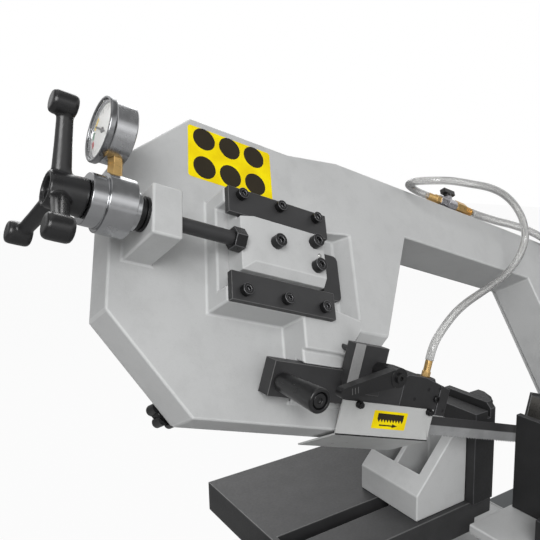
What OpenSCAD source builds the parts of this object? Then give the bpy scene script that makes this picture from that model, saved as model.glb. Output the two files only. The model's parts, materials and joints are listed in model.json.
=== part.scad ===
/* [Machine] */
// Height of the vise bed above the floor
bed_height = 850; // [780:5:900]
// Angle of the raised saw bow
bow_angle = 18; // [18:1:24]
// Lean of the bow casting to the back
lean = 30; // [30:1:30]
// Distance from the mitre axis to the bow's hinge
pivot_reach = 307; // [300:1:320]
// Running gap between parts that slide or turn
gap = 0.3; // [0.2:0.05:0.4]

/* [Bow casting] */
// Depth of the wheel housings behind their front face
casting_depth = 44; // [44:1:50]
// Height of the wheel housings
housing_height = 368; // [364:1:372]
// Height of the beam's top edge
beam_top = 362; // [360:1:364]
// Height of the beam's lower edge
beam_bottom = 277; // [272:1:282]
// How far the beam stands out of the housing face
beam_rise = 25; // [20:1:28]
// Thickness of the front wall over the wheels
front_wall = 8.5; // [6:0.5:9]
// Radius of the room cut for each wheel
wheel_room_r = 168; // [167:1:170]

/* [Blade and wheels] */
// Radius of the wheels
wheel_r = 160; // [158:1:160]
// Distance between the wheel axles
wheel_distance = 872; // [860:1:880]
// Height of the wheel axles above the housing's lower edge
wheel_height = 184; // [184:1:186]
// Depth of the blade's middle behind the housing face
blade_depth = 27; // [26:0.5:28]
// Width of the blade
blade_width = 27; // [25:1:27]
// Thickness of the blade
blade_thickness = 0.9; // [0.8:0.1:1.1]
// Distance between two teeth
tooth_pitch = 6; // [5:1:10]
// Depth of a tooth
tooth_depth = 2.4; // [1.5:0.1:3]
// Radius of the idler axle in its bearings
axle_r = 12.5; // [10:0.5:13]
// Outer radius of the wheel bearings
bearing_r = 26; // [24:1:28]
// Radius of the drive shaft
drive_shaft_r = 20; // [18:1:22]

/* [Blade tension] */
// Height of the spindle above the housing face
spindle_out = 50; // [48:1:52]
// Radius of the tension spindle
spindle_r = 8; // [7:0.5:8]
// Length of the slide block
slide_length = 114; // [110:1:118]
// Width of the slide block between the gibs
slide_width = 65; // [60:1:66]
// Height of the slide block's front above the housing face
slide_out = 55; // [52:1:58]
// Height of the gib seats above the housing face
seat_out = 40; // [38:1:42]
// Thickness of a gib
gib_t = 8; // [6:1:10]
// Outer radius of the load cell
cell_r = 29.5; // [25:0.5:30]
// Length from the axis to a spoke's end
spoke_length = 84; // [75:1:90]
// Radius of the gauge case
gauge_r = 34.5; // [30:0.5:36]
// Depth of the gauge case
gauge_depth = 30; // [26:1:34]

/* [Blade guides] */
// Length of the guide bar left of its head
bar_length = 197; // [180:1:197]
// Height of the guide bar
bar_height = 39; // [35:1:40]
// Thickness of the guide bar
bar_t = 19; // [16:1:19]
// Length of the moving guide's head
head_length = 86; // [80:1:90]
// Thickness of the guard's sheet
guard_t = 2; // [1.5:0.5:2]
// Left edge of the fixed guide along the bow
fixed_guide_s = 622; // [615:1:640]
// Height of the guard's front
guard_height = 38; // [35:1:40]
// Length of the guard's turned-under flange
guard_flange = 67; // [60:1:67]

/* [Vise and bed] */
// Height of the vise jaws
jaw_height = 158; // [140:1:160]
// Length of the moving jaw
jaw_length = 150; // [140:5:160]
// Distance from the blade to the jaws behind it
jaw_back = 22; // [22:1:26]
// Thickness of the bed casting
bed_t = 50; // [50:1:60]
// Radius of the vise screw
screw_r = 12; // [10:1:14]
// Radius of the vise handwheel
handwheel_r = 75; // [70:1:75]

/* [Swivel arm and feed] */
// Radius of the swivel disc
disc_r = 118; // [110:1:120]
// Thickness of the swivel disc and arm
arm_t = 30; // [25:1:30]
// Radius of the hinge knuckles
knuckle_r = 32; // [28:1:34]
// Radius of the hinge pin
hinge_pin_r = 15; // [12:1:18]
// Outer radius of the feed cylinder
cylinder_r = 22; // [20:1:24]
// Radius of the feed cylinder's rod
feed_rod_r = 9; // [8:1:10]

/* [Stand] */
// Width of the stand
stand_w = 600; // [560:10:640]
// Depth of the stand
stand_d = 400; // [380:10:420]
// Thickness of the stand's sheet
sheet_t = 3; // [2:0.5:4]
// Radius of the floor bolt holes
floor_bolt_r = 7; // [5:0.5:8]

/* [Coolant] */
// Outer radius of the coolant hoses
hose_r = 5.5; // [4:0.5:6]

/* [Hidden] */
$fn = 48;

cast_grey = [0.72, 0.73, 0.73];
dark_steel = [0.27, 0.27, 0.28];
black = [0.12, 0.12, 0.13];
bright = [0.72, 0.72, 0.72];
brass = [0.80, 0.62, 0.30];
clear_pvc = [0.75, 0.75, 0.74];

lean_sin = sin(lean);
lean_cos = cos(lean);
// Wheel axles, measured along the bow from the left foot of the housing
idler_s = 90;
drive_s = idler_s + wheel_distance;
blade_line_r = wheel_r + 0.6 + blade_thickness / 2;
blade_v = wheel_height - blade_line_r;
// The lower run in the bow's upright frame
blade_y = blade_v * lean_sin + blade_depth * lean_cos;
blade_h = blade_v * lean_cos - blade_depth * lean_sin;
teeth_h = blade_h - blade_width / 2;
// The bow's hinge, along the bow and up from its foot
pivot_s = 910;
pivot_h = -75;
// Below the bed by this much when the bow is level
teeth_under_bed = 2;
pivot_z = bed_height - teeth_under_bed - teeth_h + pivot_h;
bow_x = pivot_reach - pivot_s * cos(bow_angle) - pivot_h * sin(bow_angle);
bow_z = pivot_z + pivot_s * sin(bow_angle) - pivot_h * cos(bow_angle);

module box(low, high) {
    translate(low) cube(high - low);
}

module at_bow() {
    translate([bow_x, -blade_y, bow_z]) rotate([0, bow_angle, 0]) children();
}

// x along the bow, y up its leaning face, z out of the face
module lean_back() {
    rotate([90 - lean, 0, 0]) children();
}

module at_face() {
    at_bow() lean_back() children();
}

// A cylinder along x, from x = a
module x_rod(a, length, r, y = 0, z = 0, fn = 48) {
    translate([a, y, z]) rotate([0, 90, 0]) cylinder(h = length, r = r, $fn = fn);
}

// A cylinder along y, from y = a
module y_rod(a, length, r, x = 0, z = 0, fn = 48) {
    translate([x, a, z]) rotate([-90, 0, 0]) cylinder(h = length, r = r, $fn = fn);
}

// A cap screw's head with its hexagon socket, the shank below it
module cap_screw(head_r, head_h, shank_r, shank_l) {
    difference() {
        union() {
            cylinder(h = head_h, r = head_r, $fn = 32);
            translate([0, 0, -shank_l]) cylinder(h = shank_l, r = shank_r, $fn = 24);
        }
        translate([0, 0, head_h * 0.45]) cylinder(h = head_h, r = head_r * 0.55, $fn = 6);
    }
}

function unit(v) = v / norm(v);

// Normals that turn as little as they can along a route
function carried(p, i = 0, n = [0, 1, 0]) =
    i == len(p) ? [] :
    let (t = unit(p[min(i + 1, len(p) - 1)] - p[max(i - 1, 0)]))
    let (m = unit(n - (n * t) * t))
    concat([[t, m]], carried(p, i + 1, m));

// A solid tube swept along a route
module tube(route, r, sides = 10) {
    frames = carried(route);
    last = len(route) - 1;
    points = [
        for (i = [0 : last]) for (k = [0 : sides - 1])
            let (a = 360 * k / sides)
            let (b = cross(frames[i][0], frames[i][1]))
            route[i] + r * (cos(a) * frames[i][1] + sin(a) * b)
    ];
    skin = [
        for (i = [0 : last - 1]) for (k = [0 : sides - 1])
            let (a = i * sides + k)
            let (b = i * sides + (k + 1) % sides)
            each [[a, a + sides, b], [b, a + sides, b + sides]]
    ];
    near = [for (k = [1 : sides - 2]) [0, k, k + 1]];
    far = [for (k = [1 : sides - 2]) [last * sides, last * sides + k + 1, last * sides + k]];
    polyhedron(points, concat(skin, near, far), convexity = 8);
}

// Bow casting, seen square to its leaning face
foot_left = 225;
throat_left_foot = [262, 93];
throat_top_left = 336;
throat_top_right = 638;
throat_right_foot = [711, 93];
foot_right = 748;
corner = 96;
left_end = idler_s - 186;
right_end = drive_s + 186;
foot_in = right_end - corner;
hump_in = 151;
beam_in = 216;
bow_outline = [
    [left_end + corner, 0], [foot_left, 0], throat_left_foot, [throat_top_left, beam_bottom],
    [throat_top_right, beam_bottom], throat_right_foot, [foot_right, 0], [foot_in, 0],
    [right_end, corner + 4], [right_end, housing_height - corner], [foot_in, housing_height],
    [drive_s - 60, housing_height], [drive_s - 125, beam_top], [beam_in, beam_top],
    [hump_in, housing_height], [left_end + corner, housing_height],
    [left_end, housing_height - corner], [left_end, corner + 4]
];

// The beam's raised face, ramped at both ends and under its lower edge
facet_top = 118;
module raised_face() {
    intersection() {
        linear_extrude(beam_rise) polygon(bow_outline);
        translate([0, housing_height + 5, 0]) rotate([90, 0, 0]) linear_extrude(housing_height + 10)
            polygon([
                [hump_in, 0], [beam_in, beam_rise], [drive_s - 185, beam_rise],
                [drive_s - 120, 0]
            ]);
        translate([hump_in - 20, 0, 0]) rotate([90, 0, 90]) linear_extrude(wheel_distance)
            polygon([
                [facet_top - beam_rise, 0], [facet_top, beam_rise],
                [housing_height + 5, beam_rise], [housing_height + 5, 0]
            ]);
    }
}

// Pocket beside the slide, with one drafted wall
pocket_low = 132;
pocket_top = 250;
pocket_right = 213.5;
module side_pocket() {
    translate([0, pocket_top, 0]) rotate([90, 0, 0]) linear_extrude(pocket_top - pocket_low)
        polygon([
            [hump_in - 10, 0], [pocket_right, 0], [pad_right, beam_rise + 0.1],
            [hump_in - 10, beam_rise + 0.1]
        ]);
    box([hump_in - 10, 80, 12], [222, pocket_low + 1, beam_rise + 1]);
}

slide_s = 34;
slide_v = wheel_height;
seat_left = 19;
seat_right = 163;
seat_low = 115;
seat_top = 253;
flange_t = 18;
flange_w = 100;
channel_floor = seat_out - gap - flange_t;
module slide_seat() {
    difference() {
        box([seat_left, seat_low, 0], [seat_right, seat_top, seat_out]);
        box([seat_left - 1, slide_v - flange_w / 2 - gap, channel_floor],
            [seat_right + 1, slide_v + flange_w / 2 + gap, seat_out + 1]);
    }
}

// Pad below the slide's seat, which the guide bar and its clamp bear on
pad_left = 120;
pad_bend = 170;
pad_right = 224;
pad_foot = 40;
pad_step = 78;
pad_end = 206;
module guide_pad(slack = 0) {
    difference() {
        for (part = [[pad_foot, pad_step, seat_out - 6], [pad_step, pocket_low, seat_out]])
            translate([0, part[1] + slack, 0]) rotate([90, 0, 0])
                linear_extrude(part[1] - part[0] + 2 * slack)
                polygon([
                    [pad_left, 0], [pad_left, part[2] + slack], [pad_bend, part[2] + slack],
                    [pad_right, part[2] - 15 + slack], [pad_right, 0]
                ]);
        // Cut back for the head of the moving guide
        linear_extrude(60) polygon([
            [pad_end, pad_foot - 1], [pad_end, 100], [pad_right + 1, 120], [pad_right + 1, pad_foot - 1]
        ]);
    }
}

// The same pad with the guide bar's slot, and a ledge under the bar
ledge_low = 23;
module bar_seat() {
    difference() {
        union() {
            lean_back() guide_pad();
            box([pad_left, 8, ledge_low], [pad_end, 19, bar_low + 2]);
        }
        box([pad_left - 1, -60, bar_low - gap],
            [pad_right + 1, bar_front + bar_t + gap, bar_low + bar_height + gap]);
    }
}

lug_left = -81;
lug_right = -48;
lug_half = 28;
lug_out = 69;
module tension_lug() {
    difference() {
        box([lug_left, slide_v - lug_half, 0], [lug_right, slide_v + lug_half, lug_out]);
        x_rod(lug_left - 1, lug_right - lug_left + 2, spindle_r + 0.2, slide_v, spindle_out);
    }
}

// Room for the wheels and both runs of the blade, open to the back
run_half = 16;
// How far the idler's slide moves when the blade is slackened
travel = 6;
module wheel_room() {
    room = casting_depth - front_wall + 1;
    translate([0, 0, -casting_depth - 1]) {
        for (s = [idler_s, idler_s + travel, drive_s])
            translate([s, wheel_height, 0]) cylinder(h = room, r = wheel_room_r, $fn = 96);
        box([idler_s, wheel_height + blade_line_r - run_half, 0],
            [drive_s, wheel_height + blade_line_r + 10, room - 3.5]);
        box([idler_s, blade_v - run_half, 0], [foot_left + 60, blade_v + run_half, room - 3.5]);
        box([foot_right - 60, blade_v - run_half, 0], [drive_s, blade_v + run_half, room - 3.5]);
    }
}

axle_slot = 17;
module axle_hole() {
    for (s = [idler_s, idler_s + travel])
        translate([s, wheel_height, -casting_depth]) cylinder(h = 104, r = axle_slot);
    box([idler_s, wheel_height - axle_slot, -casting_depth],
        [idler_s + travel, wheel_height + axle_slot, 60]);
}

// The bow's hinge boss, in the bow's upright frame
boss_front = 12;
boss_back = 92;
module hinge_boss() {
    difference() {
        union() {
            y_rod(boss_front, boss_back - boss_front, knuckle_r, pivot_s, pivot_h, 64);
            translate([0, 44, 0]) rotate([90, 0, 0]) linear_extrude(44 - boss_front)
                polygon([
                    [pivot_s - 30, pivot_h - 5], [pivot_s + 30, pivot_h - 5],
                    [pivot_s + 90, 10], [pivot_s - 80, 10]
                ]);
        }
        y_rod(boss_front - 1, boss_back - boss_front + 2, hinge_pin_r + 0.05, pivot_s, pivot_h, 64);
        lean_back() box([pivot_s - 200, 2, -200], [pivot_s + 200, 100, 100]);
    }
}

// The lug that the feed rod's pin passes through
feed_s = pivot_s - 80;
feed_h = pivot_h + 100;
feed_hole_r = 13;
feed_y = -42;
lug_t = 12;
module feed_lug() {
    difference() {
        union() {
            y_rod(-31, lug_t, 24, feed_s, feed_h);
            box([feed_s, -31, feed_h - 20], [feed_s + 60, -31 + lug_t, feed_h + 20]);
            box([feed_s + 30, -31, feed_h - 20], [feed_s + 60, 30, feed_h + 20]);
        }
        y_rod(-32, lug_t + 2, feed_hole_r, feed_s, feed_h);
        lean_back() box([feed_s - 50, -50, -100], [feed_s + 100, 100, -4]);
    }
}

module bow_frame() {
    color(cast_grey) at_bow() {
        difference() {
            union() {
                lean_back() {
                    translate([0, 0, -casting_depth]) linear_extrude(casting_depth)
                        polygon(bow_outline);
                    difference() {
                        raised_face();
                        side_pocket();
                    }
                    slide_seat();
                    tension_lug();
                    cover_lugs();
                }
                feed_lug();
                bar_seat();
            }
            lean_back() {
                wheel_room();
                axle_hole();
                translate([drive_s, wheel_height, -casting_depth])
                    cylinder(h = 100, r = drive_shaft_r + 12);
            }
        }
        hinge_boss();
    }
}

// Rear cover, a shallow sheet tray hinged along the beam's top
cover_t = 1.5;
cover_depth = 5.5;
cover_gap = 0.5;
cover_in = 3;
cover_back = -casting_depth - cover_gap - cover_depth;
hinge_v = housing_height + 8;
hinge_w = -casting_depth - 4;
knob_places = [[2, 22], [foot_in - 2, 22]];
hinge_places = [left_end + 150, right_end - 150];

function line_shift(a, b, d) =
    let (n = unit([a[1] - b[1], b[0] - a[0]]))
    [a + d * n, b + d * n];

function crossing(p, q) =
    let (u = p[1] - p[0])
    let (v = q[1] - q[0])
    let (t = ((q[0][0] - p[0][0]) * v[1] - (q[0][1] - p[0][1]) * v[0]) / (u[0] * v[1] - u[1] * v[0]))
    p[0] + t * u;

// A polygon with every edge moved inwards
function inset(p, d) = [
    for (i = [0 : len(p) - 1])
        crossing(
            line_shift(p[(i + len(p) - 1) % len(p)], p[i], d),
            line_shift(p[i], p[(i + 1) % len(p)], d)
        )
];

module hinge_leaf(s) {
    difference() {
        union() {
            x_rod(s - 12, 24, 6, hinge_v, hinge_w);
            box([s - 12, housing_height - 3, hinge_w - 2 + 6], [s + 12, hinge_v, hinge_w + 2 + 6]);
        }
        x_rod(s - 13, 26, 3.02, hinge_v, hinge_w);
    }
}

// Threaded lugs for the cover's knobs, and the fixed hinge leaves
module cover_lugs() {
    for (s = hinge_places) hinge_leaf(s);
}

module rear_cover() {
    color(cast_grey) at_face() difference() {
        union() {
            difference() {
                translate([0, 0, cover_back]) linear_extrude(cover_depth)
                    polygon(inset(bow_outline, cover_in));
                translate([0, 0, cover_back + cover_t]) linear_extrude(cover_depth)
                    polygon(inset(bow_outline, cover_in + cover_t));
            }
            for (s = hinge_places) for (e = [-1, 1])
                translate([s + e * 22, 0, 0]) {
                    x_rod(-8, 16, 6, hinge_v, hinge_w);
                    box([-8, housing_height - cover_in - 12, cover_back - 2],
                        [8, hinge_v, cover_back]);
                    box([-8, hinge_v - 3, cover_back - 2], [8, hinge_v + 3, hinge_w]);
                }
        }
        for (s = hinge_places) x_rod(s - 40, 80, 3.05, hinge_v, hinge_w);
        for (p = knob_places)
            translate([p[0], p[1], cover_back - 1]) cylinder(h = cover_t + 2, r = 4.5);
    }
}

module cover_hinge_pins() {
    color(bright) at_face() for (s = hinge_places) x_rod(s - 30.5, 61, 3, hinge_v, hinge_w);
}

// Lobed knobs that hold the cover shut
module cover_knob_left() {
    cover_knob(knob_places[0]);
}

module cover_knob_right() {
    cover_knob(knob_places[1]);
}

module cover_knob(p) {
    color(black) at_face() translate([p[0], p[1], 0]) {
        translate([0, 0, cover_back - 19]) difference() {
            union() {
                cylinder(h = 16, r = 15);
                for (a = [0 : 60 : 300]) rotate(a) translate([14, 0, 0]) cylinder(h = 16, r = 6);
                translate([0, 0, 15]) cylinder(h = 3.8, r = 10);
            }
            translate([0, 0, -1]) cylinder(h = 3, r = 8);
        }
        translate([0, 0, cover_back - 1]) cylinder(h = cover_depth + 1 + cover_gap - 0.1, r = 4);
    }
}

// Blade tension mechanism
screw_places = [36, 90, 144];
gib_low = [seat_low, 33];
gib_high = [slide_v + 35, 33];
plate_low = 161;
plate_t = 8;
module slide_gibs() {
    // Plate that closes the pocket beside the slide
    color(dark_steel) at_face() linear_extrude(plate_t) offset(r = 7) offset(delta = -7) polygon([
        [seat_right + 0.1, plate_low], [pocket_right - 1, plate_low],
        [pocket_right - 1, slide_v + 40], [seat_right + 0.1, slide_v + 40]
    ]);
    color(dark_steel) at_face() for (g = [gib_low, gib_high]) difference() {
        box([screw_places[0] - 16, g[0], seat_out], [screw_places[2] + 18, g[0] + g[1], seat_out + gib_t]);
        for (s = screw_places)
            translate([s, gib_screw_v(g), seat_out - 1]) cylinder(h = gib_t + 2, r = 4.2);
    }
}

function gib_screw_v(g) = g[0] + (g[0] < slide_v ? 11.5 : 23.5);

module gib_screws() {
    color(black) at_face() for (g = [gib_low, gib_high]) for (s = screw_places)
        translate([s, gib_screw_v(g), seat_out + gib_t]) cap_screw(6.5, 8, 4, gib_t);
}

slide_screws_at = [[77, 190], [133, 204], [133.5, 173]];
module slide_block() {
    half = slide_width / 2;
    color(cast_grey) at_face() difference() {
        union() {
            box([slide_s, slide_v - flange_w / 2, channel_floor + 0.05],
                [slide_s + slide_length, slide_v + flange_w / 2, seat_out - gap]);
            // Body with a sloped shoulder on its left and lower sides
            translate([0, 0, seat_out - gap - 0.01]) intersection() {
                box([slide_s, slide_v - half, 0],
                    [slide_s + slide_length, slide_v + half, slide_out - seat_out + gap]);
                translate([0, slide_v + half + 1, 0]) rotate([90, 0, 0]) linear_extrude(slide_width + 2)
                    polygon([
                        [slide_s, 0], [slide_s, 9], [slide_s + 14, 15.31],
                        [slide_s + slide_length, 15.31], [slide_s + slide_length, 0]
                    ]);
                translate([slide_s - 1, 0, 0]) rotate([90, 0, 90]) linear_extrude(slide_length + 2)
                    polygon([
                        [slide_v - half, 0], [slide_v - half, 9], [slide_v - half + 10, 15.31],
                        [slide_v + half, 15.31], [slide_v + half, 0]
                    ]);
            }
        }
        translate([idler_s, wheel_height, 0]) cylinder(h = 34, r = axle_r - 2.45);
        for (p = slide_screws_at)
            translate([p[0], p[1], slide_out - 20]) cylinder(h = 21, r = 5.1);
    }
}

// Three cap screws, and the nut that the spindle draws the slide by
module slide_screws() {
    color(black) at_face() for (p = slide_screws_at)
        translate([p[0], p[1], slide_out]) cap_screw(8, 10, 5, 19);
    color(black) at_face() translate([slide_s - 14, slide_v, spindle_out]) rotate([0, 90, 0]) difference() {
        cylinder(h = 14, r = 13.5, $fn = 6);
        translate([0, 0, -1]) cylinder(h = 16, r = spindle_r + 0.05, $fn = 64);
    }
}

// The stub that the idler turns on, held in the slide
module idler_axle() {
    color(bright) at_face() translate([idler_s, wheel_height, 0]) {
        translate([0, 0, -12]) cylinder(h = channel_floor + 12.05, r = axle_r + 2.5);
        translate([0, 0, channel_floor]) cylinder(h = 11, r = axle_r - 2.5);
        translate([0, 0, -43]) cylinder(h = 31.1, r = axle_r, $fn = 64);
        translate([0, 0, -44.2]) cylinder(h = 1.4, r = axle_r + 3.5);
    }
}

module idler_bearings() {
    color(bright) at_face() for (low = [-42, -27.5])
        translate([idler_s, wheel_height, low]) difference() {
            cylinder(h = 14, r = bearing_r - 0.02, $fn = 64);
            translate([0, 0, -1]) cylinder(h = 16, r = axle_r + 0.05, $fn = 64);
        }
}

// Band wheel with a lip behind the blade and six lightening holes
module band_wheel(hub_r, bore_r) {
    rim_back = -blade_depth - 8;
    lip = -blade_depth + blade_width / 2 + 0.1;
    difference() {
        rotate_extrude($fn = 96) polygon([
            [bore_r, -42], [hub_r, -42], [hub_r, -26], [wheel_r - 14, -26],
            [wheel_r - 14, rim_back], [wheel_r, rim_back], [wheel_r, lip], [wheel_r + 3, lip],
            [wheel_r + 3, lip + 3.4], [wheel_r - 14, lip + 3.4], [wheel_r - 14, -18],
            [hub_r, -18], [hub_r, -12], [bore_r, -12]
        ]);
        for (a = [0 : 60 : 300]) rotate(a) translate([92, 0, -40]) cylinder(h = 40, r = 22);
    }
}

module idler_wheel() {
    color([0.45, 0.46, 0.47]) at_face() translate([idler_s, wheel_height, 0])
        band_wheel(bearing_r + 12, bearing_r);
}

module drive_wheel() {
    color([0.45, 0.46, 0.47]) at_face() translate([drive_s, wheel_height, 0])
        band_wheel(drive_shaft_r + 18, drive_shaft_r);
}

module drive_shaft() {
    color(bright) at_face() translate([drive_s, wheel_height, 0]) {
        translate([0, 0, -42]) cylinder(h = 92, r = drive_shaft_r - 0.03, $fn = 64);
        translate([0, 0, -44.2]) cylinder(h = 2.2, r = drive_shaft_r + 8);
    }
}

gear_out = 130;
gear_axis = 80;
module gearbox() {
    color(cast_grey) at_face() translate([drive_s, wheel_height, 0.1]) difference() {
        union() {
            cylinder(h = 14, r = 70);
            box([-62, -70, 14], [62, 70, gear_out]);
            y_rod(-84, 168, 46, 0, gear_axis, 64);
            y_rod(80, 12, 72, 0, gear_axis, 64);
            translate([0, 0, gear_out]) cylinder(h = 8, r = 42);
        }
        translate([0, 0, -1]) cylinder(h = 52, r = drive_shaft_r + 0.05, $fn = 64);
    }
}

// Motor with cooling fins and a fan cowl, standing on the gearbox
module motor() {
    color([0.35, 0.37, 0.38]) at_face() translate([drive_s, wheel_height + 92.1, gear_axis + 0.1]) {
        y_rod(0, 14, 72, 0, 0, 64);
        y_rod(14, 150, 56, 0, 0, 64);
        for (a = [0 : 15 : 345]) rotate([0, a, 0]) box([-1.5, 22, 50], [1.5, 156, 64]);
        y_rod(160, 45, 68, 0, 0, 64);
        y_rod(205, 4, 58, 0, 0, 64);
        box([-40, 40, 60], [40, 120, 96]);
    }
}

// Blade: a flat loop that turns upright between the guides
twist_in = 252;
twist_from = idler_s + 20;
twist_out = fixed_guide_s + 52;
function turned(s) =
    s < twist_in ? lean_turn * max(0, (s - twist_from) / (twist_in - twist_from)) :
    s < twist_out ? lean_turn :
    lean_turn * max(0, (drive_s - s) / (drive_s - twist_out));
lean_turn = 90 - lean;
teeth_from = foot_left + 20;
teeth_count = floor((foot_right - 20 - teeth_from) / tooth_pitch);
wheel_steps = 22;

// One ring of the blade: its place, its thickness and width directions, and the tooth's depth
function blade_ring(s, v, across, turn, cut) =
    let (wide = across * sin(turn) + [0, 0, 1] * cos(turn))
    let (thin = across * cos(turn) - [0, 0, 1] * sin(turn))
    let (mid = [s, v, -blade_depth])
    let (b = mid + wide * blade_width / 2)
    let (f = mid - wide * (blade_width / 2 - cut))
    [
        b + thin * blade_thickness / 2, b - thin * blade_thickness / 2,
        f - thin * blade_thickness / 2, f + thin * blade_thickness / 2
    ];

lower_run = concat(
    [for (k = [0 : 5]) blade_ring(idler_s + k * (teeth_from - 4 - idler_s) / 5, blade_v, [0, 1, 0],
        turned(idler_s + k * (teeth_from - 4 - idler_s) / 5), tooth_depth)],
    [for (k = [0 : teeth_count - 1]) for (e = [0, 1])
        let (s = teeth_from + (k + e * 0.25) * tooth_pitch)
        blade_ring(s, blade_v, [0, 1, 0], turned(s), e * tooth_depth)],
    [for (k = [1 : 5])
        let (s = foot_right - 20 + k * (drive_s - foot_right + 20) / 6)
        blade_ring(s, blade_v, [0, 1, 0], turned(s), tooth_depth)]
);
right_arc = [for (k = [0 : wheel_steps])
    let (a = -90 + 180 * k / wheel_steps)
    blade_ring(drive_s + blade_line_r * cos(a), wheel_height + blade_line_r * sin(a),
        [-cos(a), -sin(a), 0], 0, tooth_depth)];
left_arc = [for (k = [0 : wheel_steps - 1])
    let (a = 90 + 180 * k / wheel_steps)
    blade_ring(idler_s + blade_line_r * cos(a), wheel_height + blade_line_r * sin(a),
        [-cos(a), -sin(a), 0], 0, tooth_depth)];

module blade() {
    rings = concat(lower_run, right_arc, left_arc);
    count = len(rings);
    points = [for (r = rings) each r];
    faces = [
        for (i = [0 : count - 1]) for (k = [0 : 3])
            let (j = (i + 1) % count)
            let (m = (k + 1) % 4)
            each [[4 * i + k, 4 * i + m, 4 * j + k], [4 * i + m, 4 * j + m, 4 * j + k]]
    ];
    color(bright) at_face() polyhedron(points, faces, convexity = 10);
}

// Tension handle, spring washers, load cell and gauge, all on the spindle's axis
hub_s = -178;
collar_s = -142;
cell_s = -127;
washer_s = -91;
module at_spindle(s) {
    at_face() translate([s, slide_v, spindle_out]) children();
}

module tension_spindle() {
    color(dark_steel) at_spindle(0) x_rod(hub_s + 8, slide_s - gap - hub_s - 8, spindle_r, fn = 64);
}

spoke_turn = [23, 143, 263];
module tension_handle() {
    color(black) at_spindle(0) difference() {
        union() {
            rotate([0, 90, 0]) translate([0, 0, hub_s])
                cylinder(h = collar_s - hub_s, r1 = 17.2, r2 = 19);
            for (a = spoke_turn) rotate([a, 0, 0]) {
                rotate([0, 0, 0]) translate([hub_s + 14, 0, 0]) rotate([-90, 0, 8])
                    cylinder(h = spoke_length - 6, r1 = 8.5, r2 = 6.5, $fn = 32);
                x_rod(hub_s - 11, 24, 11.5, y = spoke_length - 5, fn = 32);
            }
        }
        x_rod(hub_s - 8, 16, 13);
        x_rod(hub_s, collar_s - hub_s + 1, spindle_r + 0.02);
    }
}

module washer(s, r, t) {
    at_spindle(s) rotate([0, 90, 0]) difference() {
        cylinder(h = t, r = r);
        translate([0, 0, -1]) cylinder(h = t + 2, r = spindle_r + 0.2);
    }
}

module spring_washers() {
    color(black) for (k = [0 : 2]) washer(washer_s + 0.1 + k * 3.3, 18 - (k % 2) * 2, 3);
}

module load_cell() {
    color(bright) at_spindle(0) difference() {
        union() {
            x_rod(cell_s, 28, cell_r, fn = 64);
            x_rod(cell_s + 28, washer_s - cell_s - 28, 20);
            x_rod(collar_s + 0.1, cell_s - collar_s - 0.1, cell_r - 4, fn = 64);
        }
        x_rod(collar_s - 1, washer_s - collar_s + 2, spindle_r + 0.2);
        translate([gauge_s, 0, 0]) rotate([-90, 0, 0]) {
            translate([0, 0, cell_r - 11.5]) cylinder(h = 20, r = 5.05);
            translate([0, 0, cell_r - 3.5]) cylinder(h = 10, r = 9);
        }
    }
}

// The gauge stands square above the cell and faces along the bow
gauge_s = cell_s + 14;
gauge_v = 83;
stem_top = gauge_v - gauge_r + 3.4;
module gauge_stem() {
    color(brass) at_spindle(gauge_s) rotate([-90, 0, 0]) {
        translate([0, 0, cell_r - 11.4]) cylinder(h = 8.4, r = 5);
        translate([0, 0, cell_r - 3.4]) cylinder(h = stem_top - cell_r + 3.4, r = 8, $fn = 6);
    }
}

gauge_back = 10;
module gauge_case() {
    color(bright) at_spindle(gauge_s) translate([-gauge_depth + gauge_back, gauge_v, 0]) difference() {
        union() {
            x_rod(0, 7, gauge_r, fn = 64);
            x_rod(7, gauge_depth - 7, gauge_r - 2.5, fn = 64);
        }
        x_rod(-1, 5, gauge_r - 4, fn = 64);
        x_rod(3, 4, gauge_r - 6, fn = 64);
        translate([gauge_depth - gauge_back, stem_top - gauge_v - 10, 0]) rotate([-90, 0, 0])
            cylinder(h = 10.05, r = 8.1);
    }
}

module gauge_dial() {
    color("white") at_spindle(gauge_s) translate([-gauge_depth + gauge_back, gauge_v, 0])
        x_rod(6, 0.95, gauge_r - 6.1, fn = 64);
}

module gauge_pointer() {
    color(black) at_spindle(gauge_s) translate([-gauge_depth + gauge_back, gauge_v, 0]) {
        x_rod(5.02, 0.96, 3, fn = 24);
        rotate([-50, 0, 0]) box([5.1, -8, -1], [5.7, gauge_r - 12, 1]);
    }
}

module gauge_lens() {
    color([0.85, 0.9, 0.92, 0.4]) at_spindle(gauge_s)
        translate([-gauge_depth + gauge_back, gauge_v, 0]) x_rod(1.2, 2.2, gauge_r - 4.05, fn = 64);
}

// Moving blade guide, in the bow's upright frame
bar_low = 31.5;
bar_front = -2.4;
head_s = 276;
bar_s = head_s - bar_length;
module guide_bar() {
    color(dark_steel) at_bow()
        box([bar_s, bar_front, bar_low], [head_s, bar_front + bar_t, bar_low + bar_height]);
}

grip_s = 92;
grip_h = 49;
grip_length = 70;
module bar_grip() {
    color(black) at_bow() translate([grip_s, bar_front, grip_h]) rotate([90, 0, 0]) {
        difference() {
            union() {
                cylinder(h = 4, r1 = 9, r2 = 10.5);
                translate([0, 0, 4]) cylinder(h = grip_length - 6, r1 = 10.5, r2 = 13.2);
                translate([0, 0, grip_length - 2]) cylinder(h = 2, r1 = 13.2, r2 = 12);
            }
            translate([0, 0, grip_length - 5]) cylinder(h = 8, r = 9);
        }
        translate([0, 0, grip_length - 5]) difference() {
            cylinder(h = 4, r = 7.5);
            translate([0, 0, 1.5]) cylinder(h = 4, r = 3.5, $fn = 6);
        }
    }
}

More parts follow.
